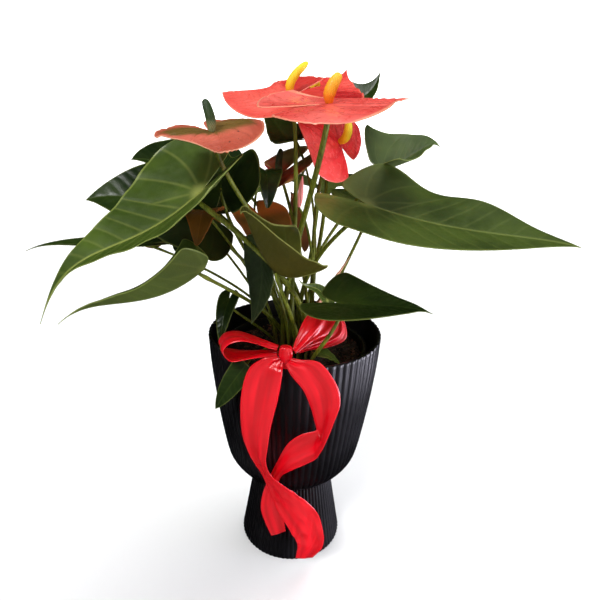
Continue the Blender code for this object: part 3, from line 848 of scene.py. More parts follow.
class Foliage(Enum):
    """The kinds of leaf skin on the plant."""

    OLIVE = BladeFinish(
        "leaf_olive", paint(52, 70, 18), paint(72, 92, 26), paint(150, 158, 78), paint(120, 132, 62),
        paint(58, 70, 22), paint(112, 122, 56), vein_strength=0.8, roughness=0.36, coat=0.1,
    )
    # Its lobe colour is painted light: a lighter yellow-green on the rear lobes, where light shines through
    # the blade.
    FRESH = BladeFinish(
        "leaf_fresh", paint(44, 58, 20), paint(64, 80, 28), paint(118, 130, 62), paint(100, 114, 50),
        paint(80, 94, 36), paint(116, 128, 62), lobe=paint(98, 114, 50), lobe_starts=0.02, vein_strength=0.5,
        roughness=0.38, coat=0.1, shine=0.4,
    )
    MATT = BladeFinish(
        "leaf_matt", paint(52, 68, 32), paint(76, 94, 46), paint(116, 130, 72), paint(116, 130, 66),
        paint(80, 94, 50), paint(110, 122, 70), vein_strength=0.5, roughness=0.42, coat=0.1,
    )
    DEEP = BladeFinish(
        "leaf_deep", paint(18, 34, 8), paint(36, 52, 14), paint(66, 82, 30), paint(92, 102, 44),
        paint(66, 76, 20), paint(92, 102, 40), vein_strength=0.4, roughness=0.34, coat=0.03, shine=0.3,
    )
    BROWNED = BladeFinish(
        "leaf_browned", paint(44, 50, 10), paint(62, 64, 14), paint(110, 112, 46), paint(132, 136, 70),
        paint(60, 58, 10), paint(96, 92, 36), vein_strength=0.4, roughness=0.36, coat=0.05, shine=0.35,
    )
    # Painted shade and sheen: a dark green with a cool, bluish cast, the look of a leaf hanging in shade.
    SHADE_AND_SHEEN = BladeFinish(
        "leaf_shade_and_sheen", paint(32, 46, 24), paint(48, 62, 34), paint(84, 98, 56), paint(92, 102, 60),
        paint(56, 68, 36), paint(90, 100, 60), vein_strength=0.35, roughness=0.34, coat=0.08, shine=0.45,
    )
    BRONZE = BladeFinish(
        "leaf_bronze", paint(66, 54, 14), paint(104, 66, 20), paint(134, 92, 40), paint(140, 84, 34),
        paint(128, 72, 32), paint(150, 98, 52), lobe=paint(156, 84, 28), lobe_starts=0.12, vein_strength=0.45,
        roughness=0.36, coat=0.05, shine=0.35,
    )
    SHEATH = BladeFinish(
        "leaf_sheath", paint(196, 140, 112), paint(222, 170, 140), paint(180, 120, 90), paint(206, 150, 110),
        paint(206, 152, 122), paint(186, 128, 96), vein_strength=0.3, roughness=0.55, coat=0.0,
    )


class Spathe(Enum):
    """The kinds of spathe skin on the plant."""

    CORAL = BladeFinish(
        "spathe_coral", paint(218, 74, 66), paint(236, 106, 96), paint(190, 46, 42), paint(242, 160, 128),
        paint(216, 80, 54), paint(176, 48, 30), vein_strength=0.3, vein_width=0.014, roughness=0.3,
        coat=0.35,
    )
    # Its lobe colour is painted shade: a darker red near the stalk, where the front spathe overlaps this one.
    ROSE = BladeFinish(
        "spathe_rose", paint(218, 72, 62), paint(238, 102, 88), paint(190, 50, 44), paint(238, 134, 108),
        paint(216, 86, 62), paint(180, 56, 40), lobe=paint(196, 46, 42), lobe_starts=0.2,
        vein_strength=0.25, vein_width=0.014, roughness=0.32, coat=0.3,
    )
    SCARLET = BladeFinish(
        "spathe_scarlet", paint(226, 46, 50), paint(244, 90, 86), paint(178, 14, 24), paint(238, 106, 92),
        paint(212, 52, 42), paint(168, 26, 24), vein_strength=0.35, vein_width=0.014, roughness=0.22,
        coat=0.5,
    )
    CRIMSON = BladeFinish(
        "spathe_crimson", paint(206, 50, 46), paint(228, 82, 70), paint(166, 26, 26), paint(232, 104, 84),
        paint(206, 60, 46), paint(160, 32, 26), lobe=paint(170, 22, 26), lobe_starts=0.45,
        vein_strength=0.35, vein_width=0.014, roughness=0.3, coat=0.35,
    )
    FADED = BladeFinish(
        "spathe_faded", paint(170, 74, 54), paint(198, 98, 76), paint(150, 70, 46), paint(220, 156, 122),
        paint(196, 100, 72), paint(140, 74, 48), lobe=paint(84, 84, 30), lobe_starts=0.34, lobe_inset=0.3,
        vein_strength=0.2, vein_width=0.014, roughness=0.36, coat=0.2, specks=paint(40, 24, 20),
    )
    YOUNG = BladeFinish(
        "spathe_young", paint(132, 58, 36), paint(156, 78, 46), paint(104, 48, 30), paint(150, 120, 60),
        paint(150, 42, 32), paint(116, 28, 24), lobe=paint(100, 92, 44), vein_strength=0.4,
        roughness=0.34, coat=0.2,
    )


class Spadix(Enum):
    """The kinds of spadix on the plant."""

    ORANGE = SpadixFinish(
        "spadix_orange", paint(242, 130, 6), paint(250, 172, 8), paint(252, 206, 54), paint(206, 104, 4),
    )
    YELLOW = SpadixFinish(
        "spadix_yellow", paint(248, 176, 8), paint(254, 212, 12), paint(254, 228, 44), paint(220, 146, 4),
    )
    GREEN = SpadixFinish(
        "spadix_green", paint(156, 160, 110), paint(50, 72, 26), paint(38, 60, 22), paint(24, 38, 12),
    )


# The slots of the finishes that don't take their kind's usual one.
SLOTS = {
    Foliage.BRONZE: "bronze_leaf",
    Foliage.SHEATH: "peach_sheath",
    Spathe.FADED: "old_spathe",
    Spathe.YOUNG: "dark_spathe",
    Spadix.GREEN: "green_spadix",
}


class Library:
    """Makes each finish once and hands it out again."""

    def __init__(self) -> None:
        """Starts with no finish made."""
        self.made: dict[str, list[bpy.types.Material]] = {}

    def blade(self, finish: BladeFinish) -> list[bpy.types.Material]:
        """Hands out a blade's finish.

        Args:
            finish: The finish.

        Returns:
            The materials of its upper and lower side.
        """
        if finish.name not in self.made:
            self.made[finish.name] = [finish.side(True), finish.side(False)]
        return self.made[finish.name]

    def stalk(self) -> bpy.types.Material:
        """Returns the stalks' material."""
        return self.plain(StalkFinish())

    def plain(self, finish: Any) -> bpy.types.Material:
        """Hands out a finish of one material.

        Args:
            finish: The finish.

        Returns:
            Its material.
        """
        if finish.name not in self.made:
            self.made[finish.name] = [finish.make()]
        return self.made[finish.name][0]


# ---------------------------------------------------------------------------------------------------------
# Leaves and blooms
# ---------------------------------------------------------------------------------------------------------


def relief(x: np.ndarray, y: np.ndarray, width: float) -> np.ndarray:
    """Returns a blade's relief: low along its veins and high between them.

    Args:
        x: The place along the blade, in shares of its length.
        y: The distance from the midrib, in the same unit.
        width: How wide the valleys are.

    Returns:
        Heights from -1 to about 0.6.
    """
    a = np.abs(y)
    lead = x - VEIN_LEAN * a - VEIN_CURVE * a ** 2
    step = (lead - VEIN_START) / VEIN_STEP
    near = np.abs(step + 0.5 - np.floor(step + 0.5) - 0.5) * VEIN_SQUARE * VEIN_STEP
    front = np.clip((lead - 0.02) / 0.08, 0, 1)
    away = np.hypot(x, a)
    turn = np.arctan2(a, x) + FAN_TWIST * away
    off = np.min([np.abs(turn - angle) for angle in FAN], axis=0) * away
    near = np.where(lead > 0.10, near, np.minimum(off, 0.06))
    near = near * front + np.minimum(off, 0.06) * (1 - front)
    near = np.minimum(near, a * 0.9)
    grow = np.clip(away / 0.2, 0, 1)
    valley = -np.exp(-(near / width) ** 2)
    crown = 0.6 * np.sin(math.pi * np.clip(near / (0.375 * VEIN_STEP), 0, 1) / 2) ** 2
    return (valley + crown) * grow


@dataclass(frozen=True)
class Texture:
    """The form of a blade's skin.

    depth is how deep its veins lie, waves is how far its edge waves up and down, valley is how wide its
    veins' valleys are as a share of the length, step is how wide a face is, and blisters is how high the
    skin puckers between its veins.
    """

    depth: float
    waves: float
    valley: float
    step: float
    blisters: float = 0.0


# How thick a spadix and the bud are: shares of the length, and of the largest radius there.
SPADIX_PROFILE = (
    (0, 0.1, 0.25, 0.45, 0.7, 0.85, 0.94, 0.985, 1.0), (0.62, 0.85, 1.0, 1.02, 0.96, 0.86, 0.68, 0.40, 0.05)
)
BUD_PROFILE = ((0, 0.12, 0.3, 0.5, 0.7, 0.86, 1.0), (0.45, 0.85, 1.0, 0.95, 0.75, 0.45, 0.12))

LARGE_LEAF = Texture(0.0002, 0.0004, 0.016, 0.00125)
SMALL_LEAF = Texture(0.0002, 0.0003, 0.016, 0.0013)
PUCKERED_SPATHE = Texture(0.00055, 0.0006, 0.020, 0.00105, 0.00045)


@dataclass(frozen=True)
class Blade:
    """A heart-shaped blade, as it grows from the top of its stem at base towards tip.

    The pairs belong to the blade's two halves. roll turns it about its midrib, fold raises each half,
    lobe is how far a half reaches back behind the stem as a share of the length, lift raises that
    lobe, wave is how far its edge swings up and down, and droop arches the outer half before it falls
    to the tip. arch and sweep bow the midrib up and sideways, and power and taper shape the outline.
    foot is where the stem leaves the soil, lean bends it sideways, and rise is how steeply it reaches the
    blade. spadix is the tip of a bloom's spadix. Angles are in degrees.
    """

    name: str
    base: Point
    tip: Point
    width: float
    foot: Pair
    lean: Pair = (0.0, 0.0)
    arch: float = 0.0
    sweep: float = 0.0
    roll: float = 0.0
    fold: Pair = (10, 10)
    lobe: Pair = (0.25, 0.25)
    lift: Pair = (0, 0)
    wave: Pair = (0.0, 0.0)
    droop: float = 0.0
    power: float = 1.6
    taper: float = 1.3
    stem: float = 0.0016
    rise: float = 0.25
    look: Foliage | Spathe = Foliage.DEEP
    spadix: Point | None = None
    spadix_radius: float = 0.0028
    spadix_look: Spadix = Spadix.YELLOW

    @property
    def length(self) -> float:
        """The straight distance from the stem's top to the tip."""
        return math.dist(self.base, self.tip)

    def half_width(self, v: np.ndarray) -> np.ndarray:
        """Returns half of the blade's width, at shares v of its length."""
        return 0.5 * self.width * np.clip(1 - v ** self.power, 0, 1) ** self.taper

    def along(self, u: np.ndarray, v: np.ndarray) -> np.ndarray:
        """Finds how far along the midrib's line each point lies.

        Args:
            u: The places across, from -1 to 1.
            v: The places along, from 0 at the stem to 1 at the tip.

        Returns:
            Shares of the blade's length, which are below 0 in its lobes.
        """
        across = np.abs(u)
        heart = np.sqrt(np.clip(1 - across ** 2, 0, 1)) * (1 - np.clip(1 - across / 0.3, 0, 1) ** 2)
        lobe = np.where(u < 0, self.lobe[0], self.lobe[1])
        return v - lobe * heart * (1 - v) ** 2.2

    def points(self, u: np.ndarray, v: np.ndarray) -> np.ndarray:
        """Places the middle surface.

        Args:
            u: The places across, from -1 to 1.
            v: The places along, from 0 at the stem to 1 at the tip.

        Returns:
            The points in space.
        """
        base = np.array(self.base)
        chord = np.array(self.tip) - base
        length = np.linalg.norm(chord)
        ahead = chord / length
        side = unit(np.cross(ahead, (0.0, 0.0, 1.0)))
        up = np.cross(side, ahead)
        roll = math.radians(self.roll)
        side, up = (
            side * math.cos(roll) + up * math.sin(roll),
            up * math.cos(roll) - side * math.sin(roll),
        )
        along = self.along(u, v)
        fold = np.where(u < 0, self.fold[0], self.fold[1])
        lift = np.where(u < 0, self.lift[0], self.lift[1])
        rise = np.radians(fold + lift * (1 - v) ** 3)

        def midrib(t: np.ndarray) -> np.ndarray:
            """Places points on the midrib's line.

            Args:
                t: How far along it they are, as shares of the length.

            Returns:
                The points in space.
            """
            inner = np.clip(t, 0, None)
            place = base + np.multiply.outer(t * length, ahead)
            place = place + np.multiply.outer(4 * self.arch * t * (1 - inner), up)
            place = place + np.multiply.outer(4 * self.sweep * t * (1 - inner), side)
            outer = np.clip(t, 0, 1)
            place[..., 2] += 2.6 * self.droop * (outer ** 2 - outer ** 6)
            return place

        tangent = midrib(along + 0.001) - midrib(along - 0.001)
        tangent /= np.linalg.norm(tangent, axis=-1, keepdims=True)
        square = side - (tangent @ side)[..., None] * tangent
        square /= np.linalg.norm(square, axis=-1, keepdims=True)
        normal = np.cross(square, tangent)
        half = self.half_width(v)
        flat = u * half * np.cos(rise)
        high = np.abs(u) * half * np.sin(rise)
        wave = np.where(u < 0, self.wave[0], self.wave[1])
        swing = np.cos(2 * math.pi * (v - 0.6) / 0.6) * (1 - v ** 3)
        high = high + wave * np.abs(u) ** 3 * swing
        return midrib(along) + square * flat[..., None] + normal * high[..., None]

    def normals(self, u: np.ndarray, v: np.ndarray) -> np.ndarray:
        """Finds the directions square to the upper face.

        Args:
            u: The places across, from -1 to 1.
            v: The places along, from 0 to 1.

        Returns:
            The directions.
        """
        u = np.clip(u, -0.985, 0.985)
        v = np.clip(v, 0.01, 0.985)
        across = self.points(u + 0.01, v) - self.points(u - 0.01, v)
        along = self.points(u, v + 0.01) - self.points(u, v - 0.01)
        out = np.cross(across, along)
        return out / np.maximum(np.linalg.norm(out, axis=-1, keepdims=True), 1e-12)

    def middle_normal(self, v: float) -> np.ndarray:
        """Finds the direction square to the upper face on the midrib.

        Args:
            v: The place along, from 0 to 1.

        Returns:
            The direction.
        """
        u = np.array([-0.02, 0.02, 0.0, 0.0])
        left, right, behind, ahead = self.points(u, np.array([v, v, v - 0.02, v + 0.02]))
        return unit(np.cross(right - left, ahead - behind))

    def skin(self, texture: Texture) -> bpy.types.Mesh:
        """Makes the blade's skin.

        Args:
            texture: The skin's form.

        Returns:
            The closed mesh, with the lower side in the second slot.
        """
        seed = sum(ord(letter) * (index + 1) for index, letter in enumerate(self.name)) % 97
        across = 2 * max(10, round(self.width / texture.step / 2))
        along = max(18, round(self.length * (1 + max(self.lobe)) / texture.step))

        def spread(u: np.ndarray) -> np.ndarray:
            """Crowds the columns towards the edges."""
            return np.sin(0.5 * math.pi * u)

        def place(u: np.ndarray, v: np.ndarray) -> np.ndarray:
            """Places the middle surface with its veins and waves.

            Args:
                u: The places across, from -1 to 1.
                v: The places along, from 0 to 1.

            Returns:
                The points in space.
            """
            u = spread(u)
            x = self.along(u, v)
            y = u * self.half_width(v) / self.length
            fade = np.clip((1 - np.abs(u)) / 0.12, 0, 1) * np.clip((1 - v) / 0.1, 0, 1)
            height = texture.depth * relief(x, y, texture.valley) * fade
            turn = seed + 5.5 * v + 1.7 * np.sin(3.1 * v + seed) + np.where(u < 0, 2.1, 0.0)
            edge = texture.waves * np.abs(u) ** 3 * np.sin(3.2 * turn) * np.clip((1 - v) / 0.25, 0, 1)
            height = height + edge
            if texture.blisters:
                flat = 1000 * self.length * np.column_stack([x, y, np.full_like(x, 0.37 * seed)])
                puckers = soft_noise(flat, 0.28) + 0.5 * soft_noise(flat, 0.6, 5.0)
                height = height + texture.blisters * fade * puckers
            return self.points(u, v) + self.normals(u, v) * height[..., None]

        def chart(u: np.ndarray, v: np.ndarray) -> np.ndarray:
            """Lays the blade flat in its UV map.

            Args:
                u: The places across, from -1 to 1.
                v: The places along, from 0 to 1.

            Returns:
                The points of the UV map.
            """
            u = spread(u)
            y = u * self.half_width(v) / self.length
            x = self.along(u, v)
            return np.column_stack([CHART_BASE[0] + CHART_SCALE[0] * y, CHART_BASE[1] + CHART_SCALE[1] * x])

        def margin(u: np.ndarray, v: np.ndarray) -> np.ndarray:
            """Measures from the edge, in millimetres."""
            side = (1 - np.abs(spread(u))) * self.half_width(v)
            return 1000 * np.minimum(side, v * self.length)

        return thicken(lay(self.name, across, along, place, chart, margin), BLADE_THICKNESS)

    def stem_line(self, end: np.ndarray, arrive: np.ndarray, count: int = 48) -> np.ndarray:
        """Draws the stem, straight up out of the soil and then over to its end.

        Args:
            end: Where it ends.
            arrive: Where the last stretch comes from, measured from its end.
            count: How many points it has.

        Returns:
            The points from below the soil to the end.
        """
        foot = np.array([*self.foot, SOIL_TOP + 0.003])
        lean = np.array([*self.lean, 0.0])
        first = foot + np.array([0.0, 0.0, max(0.35 * (end[2] - foot[2]), 0.012)]) + 0.6 * lean
        second = end + arrive + lean
        t = np.linspace(0, 1, count)[:, None]
        line = (1 - t) ** 3 * foot + 3 * t * (1 - t) ** 2 * first
        line = line + 3 * t * t * (1 - t) * second + t ** 3 * end
        start = np.array([[foot[0], foot[1], SOIL_TOP - 0.008], [foot[0], foot[1], SOIL_TOP - 0.002]])
        return np.concatenate([start, line])

    def stand(self, name: str, line: np.ndarray, library: Library) -> None:
        """Builds and dresses the stalk of a bloom.

        Args:
            name: The bloom's name.
            line: The points of the stalk's middle.
            library: The finishes.
        """
        stalk = pipe(name, line, np.linspace(self.stem, 0.8 * self.stem, len(line)))
        piece(f"{name}_stem", stalk, [library.stalk()], "stalk", f"{name}_stalk")


@dataclass(frozen=True)
class Leaf:
    """A leaf: its blade and its stalk in one piece.

    large is the width past which its skin is finer, and tucked is how far the stalk's end is below the skin.
    taper is how much thinner the stalk is at its top, knee is how far it swells just below the blade, and
    flare how far it swells at the soil, as shares of its radius.
    """

    blade: Blade
    large: float = 0.07
    tucked: float = 0.0003
    taper: float = 0.25
    knee: float = 0.28
    flare: float = 0.22

    def build(self, library: Library) -> None:
        """Builds and dresses the leaf.

        Args:
            library: The finishes.
        """
        blade = self.blade
        normal = blade.middle_normal(0.06)
        if normal[2] < 0:
            normal = -normal
        end = blade.points(np.zeros(1), np.array([0.04]))[0] - self.tucked * normal
        reach = end - np.array([*blade.foot, SOIL_TOP])
        arrive = -np.array([0.30 * reach[0], 0.30 * reach[1], blade.rise * reach[2]])
        line = blade.stem_line(end, arrive)
        share = np.linspace(0, 1, len(line))
        knee = self.knee * np.exp(-((share - 0.93) / 0.035) ** 2)
        flare = self.flare * np.exp(-share / 0.06)
        radii = blade.stem * (1 - self.taper * share) * (1 + knee + flare)
        skin = blade.skin(LARGE_LEAF if blade.width > self.large else SMALL_LEAF)
        stalk = pipe(f"{blade.name}_stalk", line, radii)
        piece(
            f"{blade.name}_skin", joined(blade.name, [(skin, 0), (stalk, 2)]),
            [*library.blade(blade.look.value), library.stalk()], SLOTS.get(blade.look, "leaf"), blade.name,
        )


@dataclass(frozen=True)
class Bloom:
    """A bloom: its stalk, its spathe and its spadix.

    The floret sizes are a floret's width round the spadix, its pitch along it, how high it stands, and how
    far the grooves between florets are sunk. faces is how many faces go round the spadix and along it.
    """

    blade: Blade
    floret_width: float = 0.0013
    floret_pitch: float = 0.0011
    floret_height: float = 0.00032
    groove: float = 0.00012
    faces: tuple[int, int] = (64, 92)

    def build(self, library: Library) -> None:
        """Builds and dresses the bloom.

        Args:
            library: The finishes.
        """
        blade = self.blade
        name = f"bloom_{blade.name}"
        normal = blade.middle_normal(0.07)
        seat = blade.points(np.zeros(1), np.array([0.07]))[0]
        end = seat - 0.0009 * normal
        neck = end - 0.004 * normal
        reach = neck - np.array([*blade.foot, SOIL_TOP])
        arrive = -0.15 * np.linalg.norm(reach) * normal - np.array([0.0, 0.0, 0.12 * reach[2]])
        last = [end - 0.002 * normal, end + 0.0008 * normal]
        line = np.concatenate([blade.stem_line(neck, arrive), last])
        blade.stand(name, line, library)
        piece(
            f"{name}_skin", blade.skin(PUCKERED_SPATHE), library.blade(blade.look.value),
            SLOTS.get(blade.look, "red_spathe"), f"{name}_spathe",
        )
        piece(
            f"{name}_spike", self.spike(seat, normal), [library.plain(blade.spadix_look.value)],
            SLOTS.get(blade.spadix_look, "yellow_spadix"), f"{name}_spadix",
        )

    def spike(self, seat: np.ndarray, normal: np.ndarray) -> bpy.types.Mesh:
        """Makes the spadix, covered in small florets.

        Args:
            seat: Where it stands on the spathe.
            normal: The direction that it leaves the spathe in.

        Returns:
            The closed mesh, whose margin attribute is 1 on a floret and 0 between florets.
        """
        blade = self.blade
        root = seat + 0.0002 * normal
        top = np.array(blade.spadix)
        second = root + 0.003 * normal
        around, rows = self.faces
        t = np.linspace(0, 1, rows + 1)
        control = second + 0.35 * np.linalg.norm(top - second) * normal
        lower = np.linspace(0, 1, 12)[:-1, None]
        lift = root * (1 - lower) + second * lower
        s = np.linspace(0, 1, rows + 1 - len(lift))[:, None]
        line = np.concatenate([lift, (1 - s) ** 2 * second + 2 * s * (1 - s) * control + s * s * top])
        radii = blade.spadix_radius * np.interp(t, *SPADIX_PROFILE)
        out = outward(line)
        length = np.linalg.norm(np.diff(line, axis=0), axis=1).sum()
        turns = max(8, round(2 * math.pi * blade.spadix_radius / self.floret_width))
        bands = length / self.floret_pitch

        def swell(u: np.ndarray, v: np.ndarray) -> np.ndarray:
            """Finds the florets.

            Args:
                u: The places round the spadix, from -1 to 1.
                v: The places along it, from 0 to 1.

            Returns:
                1 at a floret's middle and 0 between florets.
            """
            one = np.abs(np.sin(math.pi * (u * turns / 2 + v * bands / 2)))
            two = np.abs(np.sin(math.pi * (u * turns / 2 - v * bands / 2)))
            return np.sqrt(one * two)

        def place(u: np.ndarray, v: np.ndarray) -> np.ndarray:
            """Places the spadix's skin.

            Args:
                u: The places round it, from -1 to 1.
                v: The places along it, from 0 to 1.

            Returns:
                The points in space.
            """
            row = np.rint(v * rows).astype(int)
            bump = self.floret_height * swell(u, v) * np.clip((1 - v) / 0.05, 0, 1)
            return line[row] + out(u, row) * (radii[row] + bump - self.groove)[:, None]

        return closed(lay("spike", around, rows, place, None, swell), fill=True)


@dataclass(frozen=True)
class Bud:
    """A rolled young spathe on its own stalk. turns is how often it is rolled, in half turns."""

    blade: Blade
    turns: float = 1.25
    faces: tuple[int, int] = (48, 59)
    thickness: float = 0.0003
    pink: BladeFinish = BladeFinish(
        "bud_pink", paint(214, 128, 122), paint(230, 160, 150), paint(188, 96, 92), paint(226, 160, 140),
        paint(214, 128, 122), paint(188, 96, 92), vein_strength=0.0, roughness=0.4,
    )

    def build(self, library: Library) -> None:
        """Builds and dresses the bud.

        Args:
            library: The finishes.
        """
        low = np.array(self.blade.base)
        high = np.array(self.blade.tip)
        ahead = unit(high - low)
        self.blade.stand("bloom_bud", self.blade.stem_line(low - 0.0005 * ahead, -0.02 * ahead), library)
        around, rows = self.faces
        t = np.linspace(0, 1, rows + 1)
        shape = np.interp(t, *BUD_PROFILE)
        line = low + t[:, None] * (high - low)

        def place(u: np.ndarray, v: np.ndarray) -> np.ndarray:
            """Places the rolled spathe.

            Args:
                u: The places round it, from -1 to 1.
                v: The places along it, from 0 to 1.

            Returns:
                The points in space.
            """
            row = np.rint(v * rows).astype(int)
            turn = self.turns * math.pi * u + 1.5 * v
            radius = self.blade.spadix_radius * shape[row] * (0.86 + 0.12 * u)
            side = unit(np.cross(ahead, (0.0, 1.0, 0.2)))
            other = np.cross(side, ahead)
            out = side * np.cos(turn)[:, None] + other * np.sin(turn)[:, None]
            return line[row] + out * radius[:, None]

        mesh = thicken(lay("bloom_bud_roll", around, rows, place), self.thickness)
        piece("bloom_bud_roll", mesh, library.blade(self.pink), "pink_spathe", "bloom_bud_spathe")


